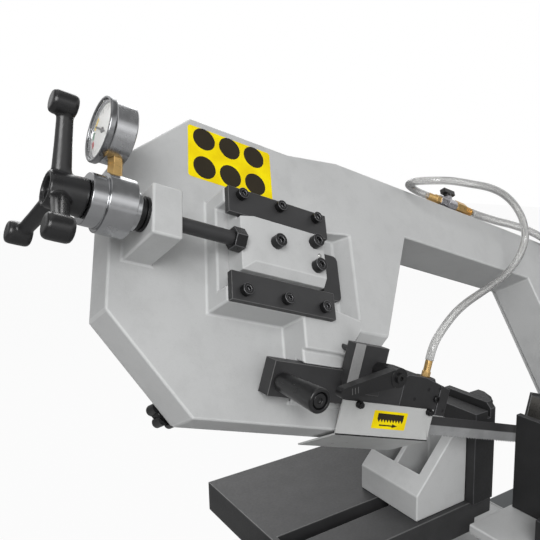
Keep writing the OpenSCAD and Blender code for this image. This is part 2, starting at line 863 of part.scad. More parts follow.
head_back = 44;
head_low = 30;
barb_s = 341;
barb_y = 25;
head_top = 77;
module guide_head() {
    color(black) at_bow() difference() {
        union() {
            translate([0, head_back, 0]) rotate([90, 0, 0]) linear_extrude(head_back - bar_front)
                polygon([
                    [head_s, head_low], [head_s + head_length, head_low],
                    [head_s + head_length, head_top - 11], [head_s + 36, head_top],
                    [head_s + 4, head_top], [head_s, head_top - 6]
                ]);
            // Legs that hold the pads on both sides of the blade
            box([head_s + 22, blade_y - 15, teeth_h + 8], [head_s + 70, blade_y - 5, head_low + 1]);
            box([head_s + 22, blade_y + 5, teeth_h + 8], [head_s + 70, blade_y + 15, head_low + 1]);
            translate([barb_s, barb_y, head_top - 16]) cylinder(h = 13, r1 = 19, r2 = 13);
        }
        // Cut for the pad above the blade's back
        box([head_s + 22, blade_y - 5, 0], [head_s + 70, blade_y + 5, head_low + 6]);
        // The left part is cut back so that it can pass in front of the casting
        lean_back() box([head_s - 1, 0, -60], [head_s + 31, 130, 0.5]);
        // Groove between the head and its cheek
        box([head_s + 66, bar_front - 1, head_low - 1], [head_s + 68, bar_front + 3, head_top]);
        translate([barb_s, barb_y, head_top - 15]) cylinder(h = 20, r = 4.05);
    }
}

// Carbide pads beside and above the blade
module guide_pads() {
    side = blade_thickness / 2 + gap;
    color([0.35, 0.34, 0.33]) at_bow() {
        for (e = [-1, 1])
            translate([0, blade_y, 0])
                box([head_s + 24, e > 0 ? side : -5, teeth_h + 9],
                    [head_s + 68, e > 0 ? 5 : -side, blade_h + blade_width / 2 - 1]);
        box([head_s + 24, blade_y - 5, blade_h + blade_width / 2 + gap],
            [head_s + 68, blade_y + 5, head_low + 6]);
    }
}

guard_left = 183;
guard_right = 338;
guard_front = bar_front - guard_t;
guard_screws_at = [208, 328];
module blade_guard() {
    color(cast_grey) at_bow() difference() {
        union() {
            box([guard_left, guard_front, -2.5], [guard_right, bar_front, guard_height - 0.5]);
            translate([0, bar_front, -2.5]) rotate([-lean, 0, 0])
                box([guard_left, -guard_t, -guard_t], [guard_right, guard_flange, 0]);
        }
        for (s = guard_screws_at) y_rod(guard_front - 1, 6, 2.6, s, 34.5);
    }
    // Knurled screws into the bar and the head
    color(black) at_bow() for (s = guard_screws_at) {
        y_rod(guard_front - 4, 4, 4.6, s, 34.5);
        y_rod(guard_front - 7, 3, 3.4, s, 34.5);
        y_rod(guard_front, guard_t, 2.55, s, 34.5);
    }
}

// Clamp that holds the guide bar on the casting
clamp_left = 173;
clamp_right = 226;
clamp_front = -14;
clamp_top = 105;
clamp_back = 0.6;
strip_width = 15;
jaw_low = 48;
lever_s = 215;
lever_h = 79;
module clamp_block() {
    color(dark_steel) at_bow() difference() {
        union() {
            box([clamp_left, clamp_front, jaw_low], [clamp_right, clamp_back, clamp_top]);
            // Ground strip at its left edge
            box([clamp_left, clamp_front - 0.4, jaw_low],
                [clamp_left + strip_width, clamp_back, clamp_top]);
            // Jack screw between the block and the pad
            y_rod(0, 30, 3.3, clamp_left + 4, 95.5);
        }
        box([clamp_left - 1, bar_front - 0.1, bar_low - 0.1],
            [clamp_right + 1, bar_front + bar_t + 0.1, bar_low + bar_height + 0.1]);
        lean_back() guide_pad(0.05);
        y_rod(clamp_front - 1, 30, 5.05, lever_s, lever_h);
    }
}

// Ratchet lever of the clamp
module clamp_lever() {
    color(black) at_bow() translate([lever_s, clamp_front, lever_h]) rotate([90, 0, 0]) {
        translate([0, 0, -12]) cylinder(h = 13, r = 5);
        translate([0, 0, 0.2]) cylinder(h = 20, r1 = 9, r2 = 11.5);
        translate([0, 0, 20]) cylinder(h = 16, r = 11.5);
        rotate(19) hull() {
            translate([0, 0, 23]) cylinder(h = 12, r = 10.5, $fn = 40);
            translate([-76, 0, 25]) cylinder(h = 10, r = 6, $fn = 28);
        }
        translate([0, 0, 35]) difference() {
            cylinder(h = 4, r = 6);
            translate([0, 0, 1.5]) cylinder(h = 4, r = 2.8, $fn = 6);
        }
    }
}

// Fixed guide on the drive side, bolted to the casting's right leg
fixed_y = 20;
module fixed_guide() {
    s = fixed_guide_s;
    color(dark_steel) at_bow() difference() {
        union() {
            // Bar to the casting
            difference() {
                box([s, blade_y - 14, 36], [foot_right + 60, blade_y - 2, 66]);
                lean_back() box([throat_top_right + 60, -50, -100], [foot_right + 200, 200, 0.02]);
            }
            box([s, blade_y - 14, teeth_h + 8], [s + 50, blade_y - 5, 37]);
            box([s, blade_y + 5, teeth_h + 8], [s + 50, blade_y + 14, 37]);
            box([s, blade_y - 14, blade_h + blade_width / 2 + 5], [s + 50, blade_y + 14, 66]);
            box([s - 1, blade_y + 14, 22], [s + 60, blade_y + 18, 71]);
        }
    }
    color([0.35, 0.34, 0.33]) at_bow() translate([0, blade_y, 0]) for (e = [-1, 1])
        box([s + 2, e > 0 ? blade_thickness / 2 + 0.2 : -5, teeth_h + 9],
            [s + 48, e > 0 ? 5 : -blade_thickness / 2 - 0.2, blade_h + blade_width / 2 + 5]);
}

// Coolant valve lying on the beam's top edge
valve_v = beam_top + 10;
valve_w = 21;
valve_s = 437;
module at_valve(s) {
    at_face() translate([s, valve_v, valve_w]) children();
}

module coolant_valve() {
    color([0.8, 0.8, 0.82]) at_valve(valve_s) difference() {
        union() {
            x_rod(0, 18, 9, fn = 6);
            x_rod(18, 20, 8.5);
            translate([26, 0, 0]) rotate([-90, 0, 0]) cylinder(h = 13, r = 6);
        }
        x_rod(-1, 8, 4.05);
        x_rod(31, 8, 4.05);
    }
}

module barb(r, length) {
    step = length / 4;
    for (k = [0 : 3]) translate([0, 0, k * step]) cylinder(h = step, r1 = r + 0.8, r2 = r - 0.4, $fn = 32);
}

supply_end = [858, 236];
module hose_fittings() {
    color(brass) {
        at_valve(valve_s) rotate([0, -90, 0]) {
            translate([0, 0, -6]) cylinder(h = 6.1, r = 4);
            translate([0, 0, 0.05]) cylinder(h = 9, r = 7.5, $fn = 6);
            translate([0, 0, 9]) barb(5.2, 18);
        }
        at_valve(valve_s + 38) rotate([0, 90, 0]) {
            translate([0, 0, -6]) cylinder(h = 6.1, r = 4);
            translate([0, 0, 0.05]) cylinder(h = 22, r = 9.9, $fn = 6);
            translate([0, 0, 22]) barb(6, 20);
        }
        at_face() translate([supply_end[0], supply_end[1], 0.05]) {
            cylinder(h = 8, r = 10, $fn = 6);
            cylinder(h = 28, r = 6.5);
            translate([0, 0, 24]) rotate([0, -90, 0]) cylinder(h = 14, r = 6.5);
            translate([-14, 0, 24]) rotate([0, -90, 0]) barb(5.2, 14);
        }
    }
}

// Hose fitting on the moving guide's head
fitting_top = 96;
module coolant_fitting() {
    color(brass) at_bow() translate([barb_s, barb_y, head_top - 3]) {
        translate([0, 0, -11.5]) cylinder(h = 11.6, r = 4);
        translate([0, 0, 0.05]) cylinder(h = 7, r = 6, $fn = 6);
        cylinder(h = fitting_top - head_top + 2.9, r = 4.8);
    }
}

module valve_handle() {
    color(black) at_valve(valve_s + 26) rotate([-90, 0, 0]) {
        translate([0, 0, 13.1]) cylinder(h = 5, r = 6);
        translate([0, 0, 18]) intersection() {
            box([-11, -5, 0], [15, 5, 8]);
            scale([1, 1, 1]) cylinder(h = 9, r = 15);
        }
    }
}

// Routes of the hoses, in the bow's upright frame
coolant_route = [
    [341, 25, 96], [341, 25, 104], [342, 25, 114], [348, 27, 127], [364, 31, 148], [385, 37, 167],
    [410, 43, 184], [438, 50, 199], [468, 56, 216], [498, 62, 235], [524, 68, 257], [541, 73, 281],
    [546, 76, 306], [534, 79, 330], [508, 80, 347], [473, 78, 355], [436, 76, 355], [399, 78, 350],
    [366, 86, 345], [344, 101, 339], [336, 123, 335], [345, 145, 333], [365, 160, 333.5],
    [386, 167, 333], [400, 167.8, 332.7], [409.8, 167.8, 332.7]
];
module coolant_hose() {
    color(clear_pvc) at_bow() tube(coolant_route, hose_r);
}

module supply_hose() {
    color(clear_pvc) at_face() tube(supply_route, hose_r + 1);
}
supply_route = [
    [517.5, 372, 21], [545, 372, 22], [580, 371, 26], [615, 370, 32], [650, 367, 37], [685, 361, 40],
    [715, 350, 41], [740, 333, 41], [757, 311, 41], [768, 288, 40], [781, 266, 37], [797, 249, 32],
    [814, 239, 27], [822, 236.5, 24.4], [829.4, 236, 24.1]
];

// Swivel arm under the bed, in the machine's own frame
arm_low = bed_height - 128;
ear_front = [-blade_y + boss_front - 26, -blade_y + boss_front - gap];
ear_back = [-blade_y + boss_back + gap, -blade_y + boss_back + 26];
feed_base = [120, arm_low + 18];
feed_mid = -blade_y + feed_y;
module swivel_arm() {
    color(cast_grey) difference() {
        union() {
            translate([0, 0, arm_low]) cylinder(h = arm_t, r = disc_r, $fn = 96);
            box([60, -50, arm_low], [pivot_reach - 40, ear_back[1], arm_low + arm_t]);
            for (y = [ear_front, ear_back]) {
                y_rod(y[0], y[1] - y[0], knuckle_r, pivot_reach, pivot_z, 64);
                translate([0, y[1], 0]) rotate([90, 0, 0]) linear_extrude(y[1] - y[0])
                    polygon([
                        [pivot_reach - 160, arm_low], [pivot_reach + 20, arm_low],
                        [pivot_reach + knuckle_r - 4, pivot_z - 12], [pivot_reach, pivot_z],
                        [pivot_reach - knuckle_r + 3, pivot_z + 8], [pivot_reach - 160, arm_low + arm_t]
                    ]);
            }
            // Stud that the feed cylinder turns on
            y_rod(feed_mid + 14, -49 - feed_mid - 14, 13, feed_base[0], feed_base[1]);
            y_rod(feed_mid - 15, 40, 8, feed_base[0], feed_base[1]);
            y_rod(feed_mid - 18, 3.2, 12, feed_base[0], feed_base[1]);
        }
        // Room for the bow's boss to turn in
        y_rod(-blade_y + boss_front - gap, boss_back - boss_front + 2 * gap, knuckle_r + 4,
            pivot_reach, pivot_z, 64);
        y_rod(-200, 400, hinge_pin_r + 0.02, pivot_reach, pivot_z, 64);
        translate([0, 0, arm_low - 1]) cylinder(h = arm_t + 2, r = 20.05, $fn = 64);
    }
}

module hinge_pin() {
    color(bright) {
        y_rod(ear_front[0] - 2, ear_back[1] - ear_front[0] + 4, hinge_pin_r, pivot_reach, pivot_z, 64);
        y_rod(ear_front[0] - 8, 8, hinge_pin_r + 5, pivot_reach, pivot_z, 64);
    }
}

module swivel_bolt() {
    color(bright) {
        translate([0, 0, base_low + 10]) cylinder(h = arm_low + arm_t - base_low - 10, r = 20, $fn = 64);
        translate([0, 0, arm_low + arm_t + gap]) cylinder(h = 6, r = 30);
        translate([0, 0, arm_low + arm_t - 2]) cylinder(h = 10, r = 12);
        translate([0, 0, arm_low + arm_t + gap + 6]) cylinder(h = 12, r = 18, $fn = 6);
    }
}

// Lever that locks the mitre angle
lock_place = [0, -96];
module swivel_lever() {
    color(black) translate([lock_place[0], lock_place[1], arm_low + arm_t + 0.2]) {
        cylinder(h = 22, r = 12);
        translate([0, 0, 14]) rotate([-80, 0, 206]) cylinder(h = 80, r1 = 8, r2 = 7);
        translate([0, 0, 14]) rotate([-80, 0, 206]) translate([0, 0, 84]) sphere(r = 13, $fn = 24);
    }
}

// Feed cylinder and rod, at the rest angle of the bow
function bow_point(s, h) = [
    bow_x + s * cos(bow_angle) + h * sin(bow_angle),
    bow_z - s * sin(bow_angle) + h * cos(bow_angle)
];
feed_pin = bow_point(feed_s, feed_h);
feed_angle = atan2(feed_pin[1] - feed_base[1], feed_pin[0] - feed_base[0]);
feed_length = norm(feed_pin - feed_base);
barrel_length = 148;
module at_feed() {
    translate([feed_base[0], feed_mid, feed_base[1]]) rotate([0, -feed_angle, 0]) children();
}

module feed_cylinder() {
    color([0.3, 0.31, 0.33]) at_feed() difference() {
        union() {
            x_rod(22, barrel_length - 22, cylinder_r, fn = 64);
            y_rod(-14, 28 - gap, 15);
            box([0, -14, -12], [23, 14 - gap, 12]);
            x_rod(barrel_length - 16, 16.1, cylinder_r + 3);
            // Flow valve that sets the cutting feed
            translate([barrel_length - 8, 0, 0]) rotate([90, 0, 0]) cylinder(h = 34, r = 9);
        }
        x_rod(27, barrel_length, cylinder_r - 5, fn = 64);
        y_rod(-20, 50, 8.05, fn = 64);
    }
    color([0.3, 0.31, 0.33]) at_feed() difference() {
        x_rod(barrel_length - 14, 14, cylinder_r - 4.9, fn = 64);
        x_rod(barrel_length - 15, 16, feed_rod_r + 0.05, fn = 64);
    }
}

piston_at = 62;
module feed_rod() {
    color(bright) {
        at_feed() {
            x_rod(piston_at, feed_length - 8 - piston_at, feed_rod_r, fn = 64);
            x_rod(piston_at, 10, cylinder_r - 5.05, fn = 64);
        }
        translate([feed_pin[0], -blade_y, feed_pin[1]]) {
            y_rod(feed_y - 9, -31 - gap - feed_y + 9, 15);
            y_rod(feed_y - 9, -31 + lug_t + 2 - feed_y + 9, 6);
        }
    }
}

// Base, bed and vise
base_low = bed_height - 160;
base_t = 20;
bed_low = bed_height - bed_t;
bed_near = 30;
bed_far = 322;
bed_left = -350;
base_left = bed_left - 22;
bed_right = 34;
screw_y = 110;
screw_z = bed_height - 62;
drain_at = [-240, -120];
drain_r = 22;
table_holes = [bed_left + 60, bed_left + 260];
table_hole_r = 5;
module base_casting() {
    color(cast_grey) difference() {
        union() {
            box([base_left, -190, base_low], [190, 235, base_low + base_t]);
            translate([0, 0, base_low]) cylinder(h = arm_low - gap - base_low, r = disc_r, $fn = 96);
            // Raised rim that keeps the coolant in
            difference() {
                box([base_left, -190, base_low], [190, 235, base_low + 30]);
                box([base_left + 8, -182, base_low - 1], [182, 227, base_low + 40]);
                box([60, -100, base_low + base_t + 0.1], [200, 240, base_low + 40]);
            }
            // Columns under the bed
            box([-310, 40, base_low], [-140, 225, bed_low]);
            box([-90, 150, base_low], [10, 225, bed_low]);
            // Post of the small front table
            box([-60, -178, base_low], [10, -140, bed_height - 15]);
            box([-90, -178, bed_height - 15], [12, -8, bed_height]);
        }
        translate([0, 0, base_low + 10]) cylinder(h = 60, r = 20.1, $fn = 64);
        // Coolant drain
        translate([drain_at[0], drain_at[1], base_low - 1]) cylinder(h = 40, r = drain_r, $fn = 64);
        // Room for the vise screw and its nut
        box([-350, screw_y - 32, screw_z - 24], [-100, screw_y + 32, bed_low + 1]);
        box([-290, 60, base_low + 30], [-160, 205, bed_low + 1]);
    }
}

module vise_bed() {
    color(dark_steel) difference() {
        union() {
            box([bed_left, bed_near, bed_low], [bed_right - 64, bed_far, bed_height]);
            box([bed_right - 65, bed_near, bed_low + 20], [bed_right, bed_far - 100, bed_height]);
            // Bearing of the vise screw
            box([bed_left, screw_y - 30, screw_z - 24], [bed_left + 30, screw_y + 30, bed_low + 1]);
        }
        // Guide slot of the moving jaw, and the screw's tunnel
        box([bed_left + 10, screw_y - 14, bed_height - 30], [bed_right - 40, screw_y + 14, bed_height + 1]);
        box([bed_left + 25, screw_y - 30, bed_low - 1], [bed_right - 60, screw_y + 30, bed_height - 25]);
        x_rod(bed_left - 1, 40, screw_r + 0.05, screw_y, screw_z, 64);
        // Tapped holes for a roller table behind the vise
        for (x = table_holes) y_rod(bed_far - 30, 31, table_hole_r, x, bed_height - 25, 64);
        // The right end is cut back for the swinging bow
        translate([0, bed_near + 6, 0]) rotate([0, 0, 45]) box([0, -80, bed_low - 1], [120, 0, bed_height + 1]);
    }
}

// Side view of the jaws, lower at the back to clear the bow at its steepest mitre
low_back = 78;
module jaw_side(x, width, full) {
    translate([x, 0, bed_height]) rotate([90, 0, 90]) linear_extrude(width) polygon([
        [jaw_back, 0], [jaw_back + jaw_length, 0], [jaw_back + jaw_length, low_back],
        [jaw_back + full + 34, low_back], [jaw_back + full, jaw_height], [jaw_back, jaw_height]
    ]);
}

module fixed_jaw() {
    color(black) {
        difference() {
            intersection() {
                translate([0, 0, bed_height]) linear_extrude(jaw_height) polygon([
                    [0.5, jaw_back + 7], [0.9, jaw_back + 7], [12.5, jaw_back + 19],
                    [22, jaw_back + 40], [22, jaw_back + jaw_length],
                    [0.5, jaw_back + jaw_length]
                ]);
                jaw_side(0, 30, 52);
            }
            box([12.5, jaw_back + 52, bed_height + 20], [23, jaw_back + jaw_length - 14, bed_height + 76]);
        }
        // Plate in front of the blade, on the small table
        box([0.5, -95, bed_height], [10.5, -14, bed_height + jaw_height - 8]);
        box([-60, -105, bed_height], [10.5, -95, bed_height + 40]);
    }
}

module jaw_carriage() {
    color(cast_grey) difference() {
        union() {
            translate([0, jaw_back + jaw_length - 10, 0]) rotate([90, 0, 0])
                linear_extrude(jaw_length - 26)
                polygon([
                    [-150, bed_height], [-45.1, bed_height], [-45.1, bed_height + 124],
                    [-70, bed_height + 124], [-150, bed_height + 40]
                ]);
            // Key and nut below the bed's top
            box([-127, screw_y - 13.6, screw_z + 17], [-60, screw_y + 13.6, bed_height + 1]);
            box([-120, screw_y - 26, screw_z - 18], [-80, screw_y + 26, screw_z + 18]);
        }
        x_rod(-160, 140, screw_r + 0.05, screw_y, screw_z, 64);
        box([-128, jaw_back + 34, bed_height + 12], [-60, jaw_back + 80, bed_height + 200]);
        box([-128, jaw_back + 88, bed_height + 12], [-60, jaw_back + 132, bed_height + 200]);
    }
}

module left_jaw() {
    color(black) difference() {
        jaw_side(-45, 44.5, 92);
        box([-46, jaw_back - 1, bed_height + jaw_height - 10], [-18, 400, bed_height + jaw_height + 1]);
        box([-18.1, jaw_back - 1, bed_height + jaw_height - 22], [-12, 400, bed_height + jaw_height + 1]);
        translate([-0.5, jaw_back, bed_height + jaw_height]) rotate([45, 0, 0])
            cube([60, 12, 12], center = true);
    }
}

module vise_screw() {
    color(bright) {
        x_rod(wheel_x + 2, -50 - wheel_x, screw_r, screw_y, screw_z, 64);
        x_rod(bed_left - 8, 7.7, screw_r + 6, screw_y, screw_z);
    }
}

wheel_x = bed_left - 62;
module vise_handwheel() {
    color(black) translate([wheel_x, screw_y, screw_z]) rotate([0, 90, 0]) difference() {
        union() {
            rotate_extrude($fn = 64) translate([handwheel_r - 8, 14]) circle(r = 8, $fn = 24);
            cylinder(h = 31.5, r = 20);
            for (a = [0, 120, 240]) rotate(a) box([10, -7, 9], [handwheel_r - 6, 7, 17]);
        }
        translate([0, 0, -1]) cylinder(h = 60, r = screw_r + 0.02, $fn = 64);
        translate([0, handwheel_r - 8, 0]) cylinder(h = 40, r = 4.05);
    }
}

grip_out = 60;
module crank_grip() {
    color(black) translate([wheel_x, screw_y + handwheel_r - 8, screw_z]) {
        x_rod(-grip_out, grip_out + 5, 10, fn = 32);
        x_rod(4, 20, 4);
    }
}

// Stand: a folded sheet cabinet with a door and a coolant tank under it
foot_in_x = stand_w / 2 - 25;
foot_in_y = stand_d / 2 + 25;
door_left = -stand_w / 2 + 40;
door_right = stand_w / 2 - 40;
door_low = 190;
door_top = 640;
front_y = -stand_d / 2;
hinge_x = door_left - 14;
hinge_z = [door_low + 60, door_top - 60];
module cabinet() {
    color([0.35, 0.37, 0.38]) difference() {
        union() {
            difference() {
                box([-stand_w / 2, front_y, 12], [stand_w / 2, -front_y, base_low]);
                box([-stand_w / 2 + sheet_t, front_y + sheet_t, 12 + sheet_t],
                    [stand_w / 2 - sheet_t, -front_y - sheet_t, 170]);
                box([-stand_w / 2 + sheet_t, front_y + sheet_t, 170 + sheet_t],
                    [stand_w / 2 - sheet_t, -front_y - sheet_t, base_low - sheet_t]);
            }
            for (x = [-1, 1]) for (y = [-1, 1])
                translate([x * foot_in_x, y * foot_in_y, 0])
                    box([-25, y > 0 ? -60 : -25, 0], [25, y > 0 ? 25 : 60, 12.5]);
            // Lower halves of the door's hinges, with their pins
            for (z = hinge_z) {
                translate([hinge_x, front_y - 10, z - 20]) cylinder(h = 36, r = 3);
                translate([hinge_x, front_y - 10, z - 1.5]) cylinder(h = 18, r = 6);
                box([hinge_x - 18, front_y - 3, z - 1.5], [hinge_x + 2, front_y + 1, z + 16.5]);
                box([hinge_x - 6, front_y - 10, z - 1.5], [hinge_x - 2, front_y + 1, z + 16.5]);
            }
        }
        box([door_left, front_y - 1, door_low], [door_right, front_y + 10, door_top]);
        box([door_left, front_y - 1, 12 + sheet_t], [door_right, front_y + 10, 150]);
        for (x = [-1, 1]) for (y = [-1, 1])
            translate([x * foot_in_x, y * foot_in_y, -1]) cylinder(h = 20, r = floor_bolt_r);
        translate([drain_at[0], drain_at[1], 160]) cylinder(h = 600, r = drain_r + 2);
    }
}

module cabinet_door() {
    color([0.35, 0.37, 0.38]) {
        difference() {
            box([door_left - 6, front_y - 4 - 12, door_low - 8], [door_right + 8, front_y - 0.5, door_top + 8]);
            box([door_left - 3, front_y - 4 - 9, door_low - 5], [door_right + 5, front_y, door_top + 5]);
            // Louvres
            for (k = [0 : 4]) box([-80, front_y - 20, 520 + 20 * k], [80, front_y - 10, 526 + 20 * k]);
        }
        for (z = hinge_z) difference() {
            union() {
                translate([hinge_x, front_y - 10, z - 20]) cylinder(h = 18, r = 6);
                box([hinge_x, front_y - 12, z - 20], [door_left - 5, front_y - 8, z - 2]);
            }
            translate([hinge_x, front_y - 10, z - 21]) cylinder(h = 30, r = 3.05, $fn = 64);
        }
    }
    color(black) difference() {
        box([door_right - 30, front_y - 44, 400], [door_right - 16, front_y - 16, 480]);
        box([door_right - 31, front_y - 36, 412], [door_right - 15, front_y - 15.9, 468]);
    }
}

// Tank that slides out under the cabinet's floor
module coolant_tank() {
    color([0.3, 0.32, 0.33]) {
        difference() {
            box([door_left + 6, front_y - 6, 12 + sheet_t + 0.3], [door_right - 6, front_y + 330, 140]);
            box([door_left + 9, front_y - 3, 12 + sheet_t + 3.3], [door_right - 9, front_y + 327, 141]);
        }
        difference() {
            box([-60, front_y - 36, 80], [60, front_y - 6, 92]);
            box([-50, front_y - 26, 79], [50, front_y - 5.9, 93]);
        }
    }
}

// Control box on the stand's right front
box_low = 470;
module control_box() {
    color([0.82, 0.83, 0.83]) difference() {
        box([stand_w / 2 + 0.05, front_y + 10, box_low], [stand_w / 2 + 75, front_y + 170, box_low + 190]);
        for (z = [box_low + 60, box_low + 130]) y_rod(front_y + 5, 30, 11.3, stand_w / 2 + 38, z);
    }
}

module start_button() {
    color([0.1, 0.55, 0.25]) {
        y_rod(front_y + 4, 28, 11, stand_w / 2 + 38, box_low + 60);
    }
}

module stop_button() {
    color([0.8, 0.08, 0.06]) {
        y_rod(front_y - 8, 40, 11, stand_w / 2 + 38, box_low + 130);
        y_rod(front_y - 14, 12, 20, stand_w / 2 + 38, box_low + 130);
    }
}

cabinet();
cabinet_door();
coolant_tank();
base_casting();
vise_bed();
fixed_jaw();
control_box();
start_button();
stop_button();
jaw_carriage();
left_jaw();
vise_screw();
vise_handwheel();
crank_grip();
swivel_arm();
swivel_bolt();
swivel_lever();
hinge_pin();
feed_cylinder();
feed_rod();
bow_frame();
rear_cover();
cover_hinge_pins();
cover_knob_left();
cover_knob_right();
slide_gibs();
gib_screws();
slide_block();
slide_screws();
idler_axle();
idler_bearings();
idler_wheel();
drive_wheel();
drive_shaft();
gearbox();
motor();
blade();
tension_spindle();
tension_handle();
spring_washers();
load_cell();
gauge_stem();
gauge_case();
gauge_dial();
gauge_pointer();
gauge_lens();
clamp_block();
clamp_lever();
guide_bar();
bar_grip();
guide_head();
guide_pads();
coolant_fitting();
blade_guard();
fixed_guide();
coolant_valve();
hose_fittings();
valve_handle();
coolant_hose();
supply_hose();
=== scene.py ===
import json
import math

import bmesh
import bpy
from mathutils import Matrix, Vector

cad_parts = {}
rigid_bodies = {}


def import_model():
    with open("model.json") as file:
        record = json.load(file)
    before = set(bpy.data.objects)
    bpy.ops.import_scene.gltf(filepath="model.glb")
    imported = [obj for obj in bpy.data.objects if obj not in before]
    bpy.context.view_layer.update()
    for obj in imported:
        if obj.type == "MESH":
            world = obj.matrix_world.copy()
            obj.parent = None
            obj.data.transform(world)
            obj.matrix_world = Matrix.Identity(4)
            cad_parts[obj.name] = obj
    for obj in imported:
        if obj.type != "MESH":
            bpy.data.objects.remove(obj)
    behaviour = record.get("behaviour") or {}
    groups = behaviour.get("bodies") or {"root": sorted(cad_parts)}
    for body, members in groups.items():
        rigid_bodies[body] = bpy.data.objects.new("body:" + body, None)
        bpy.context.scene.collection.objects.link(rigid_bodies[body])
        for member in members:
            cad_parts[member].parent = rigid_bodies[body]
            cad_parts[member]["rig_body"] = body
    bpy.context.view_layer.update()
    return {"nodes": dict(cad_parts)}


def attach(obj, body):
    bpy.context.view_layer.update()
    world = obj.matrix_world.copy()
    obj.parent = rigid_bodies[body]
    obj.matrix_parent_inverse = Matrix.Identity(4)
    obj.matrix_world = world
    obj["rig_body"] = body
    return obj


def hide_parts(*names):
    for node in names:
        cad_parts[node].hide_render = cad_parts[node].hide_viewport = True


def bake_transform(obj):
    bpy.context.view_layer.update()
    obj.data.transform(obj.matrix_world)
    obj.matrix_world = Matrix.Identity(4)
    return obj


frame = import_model()
nodes = frame["nodes"]
mm = 0.001


def moved(x, y, z):
    return Matrix.Translation(Vector((x, y, z)) * mm)


def rotated(degrees, axis):
    return Matrix.Rotation(math.radians(degrees), 4, axis)


# bowFrame runs along the bow, to the back and up; faceFrame along, up and out of its leaning front.
# Places are in millimetres, turns in degrees
bowPlace = {"corner": (-535.28516, -34.8577, 1132.65942), "tilt": 18.0, "lean": 60.0}
bowFrame = moved(*bowPlace["corner"]) @ rotated(bowPlace["tilt"], "Y")
faceFrame = bowFrame @ rotated(bowPlace["lean"], "X")


# Camera
camera = {
    "place": (-782.9, -576.5, 1383.4), "yaw": 32.2, "pitch": 9.9, "roll": 1.3,
    "lens": 42.2, "sensor": 36.0, "near": 0.02,
}


def setCamera(c):
    yaw, pitch, roll = (math.radians(c[k]) for k in ("yaw", "pitch", "roll"))
    ahead = Vector((math.sin(yaw) * math.cos(pitch), math.cos(yaw) * math.cos(pitch), -math.sin(pitch)))
    side = Vector((math.cos(yaw), -math.sin(yaw), 0.0))
    down = ahead.cross(side)
    right = math.cos(roll) * side + math.sin(roll) * down
    up = math.sin(roll) * side - math.cos(roll) * down
    turn = Matrix((right, up, -ahead)).transposed().to_4x4()
    data = bpy.data.cameras.new("benchCamera")
    data.lens = c["lens"]
    data.sensor_width = c["sensor"]
    data.clip_start = c["near"]
    seen = bpy.data.objects.new("benchCamera", data)
    seen.matrix_world = moved(*c["place"]) @ turn
    bpy.context.scene.collection.objects.link(seen)
    bpy.context.scene.camera = seen


setCamera(camera)
print("camera set")


# Finishes
def tone(r, g, b):
    # a colour as a paint chart gives it, 0 to 255
    def one(c):
        c = c / 255.0
        return c / 12.92 if c <= 0.04045 else ((c + 0.055) / 1.055) ** 2.4

    return (one(r), one(g), one(b), 1.0)


def startFinish(name, **fixed):
    made = bpy.data.materials.new(name)
    made.use_nodes = True
    shader = made.node_tree.nodes["Principled BSDF"]
    for socket, value in fixed.items():
        shader.inputs[socket.replace("_", " ")].default_value = value
    return made, made.node_tree, shader


def grain(tree, scale, detail=3.0, rough=0.5, stretch=(1, 1, 1)):
    where = tree.nodes.new("ShaderNodeTexCoord")
    sized = tree.nodes.new("ShaderNodeMapping")
    sized.inputs["Scale"].default_value = stretch
    made = tree.nodes.new("ShaderNodeTexNoise")
    made.inputs["Scale"].default_value = scale
    made.inputs["Detail"].default_value = detail
    made.inputs["Roughness"].default_value = rough
    tree.links.new(where.outputs["Object"], sized.inputs["Vector"])
    tree.links.new(sized.outputs["Vector"], made.inputs["Vector"])
    return made.outputs["Fac"]


def shades(tree, value, *stops):
    made = tree.nodes.new("ShaderNodeValToRGB")
    ramp = made.color_ramp
    while len(ramp.elements) < len(stops):
        ramp.elements.new(0.5)
    for element, (at, colour) in zip(ramp.elements, stops):
        element.position = at
        element.color = colour
    tree.links.new(value, made.inputs["Fac"])
    return made.outputs["Color"]


def spread(tree, value, low, high, start=0.3, end=0.7):
    made = tree.nodes.new("ShaderNodeMapRange")
    made.inputs["From Min"].default_value = start
    made.inputs["From Max"].default_value = end
    made.inputs["To Min"].default_value = low
    made.inputs["To Max"].default_value = high
    tree.links.new(value, made.inputs["Value"])
    return made.outputs["Result"]


def blendColours(tree, share, first, second, way="MIX"):
    made = tree.nodes.new("ShaderNodeMix")
    made.data_type = "RGBA"
    made.blend_type = way
    for socket, value in (("Factor", share), ("A", first), ("B", second)):
        taken = [s for s in made.inputs if s.name == socket and (socket == "Factor" or s.type == "RGBA")][0]
        if hasattr(value, "links"):
            tree.links.new(value, taken)
        else:
            taken.default_value = value
    return [s for s in made.outputs if s.type == "RGBA"][0]


def raised(tree, shader, *heights):
    # each height is (value, how deep in metres, strength)
    last = None
    for value, depth, strength in heights:
        made = tree.nodes.new("ShaderNodeBump")
        made.inputs["Distance"].default_value = depth
        made.inputs["Strength"].default_value = strength
        tree.links.new(value, made.inputs["Height"])
        if last:
            tree.links.new(last, made.inputs["Normal"])
        last = made.outputs["Normal"]
    tree.links.new(last, shader.inputs["Normal"])


def scaled(colour, k):
    return (min(1, colour[0] * k), min(1, colour[1] * k), min(1, colour[2] * k), 1.0)


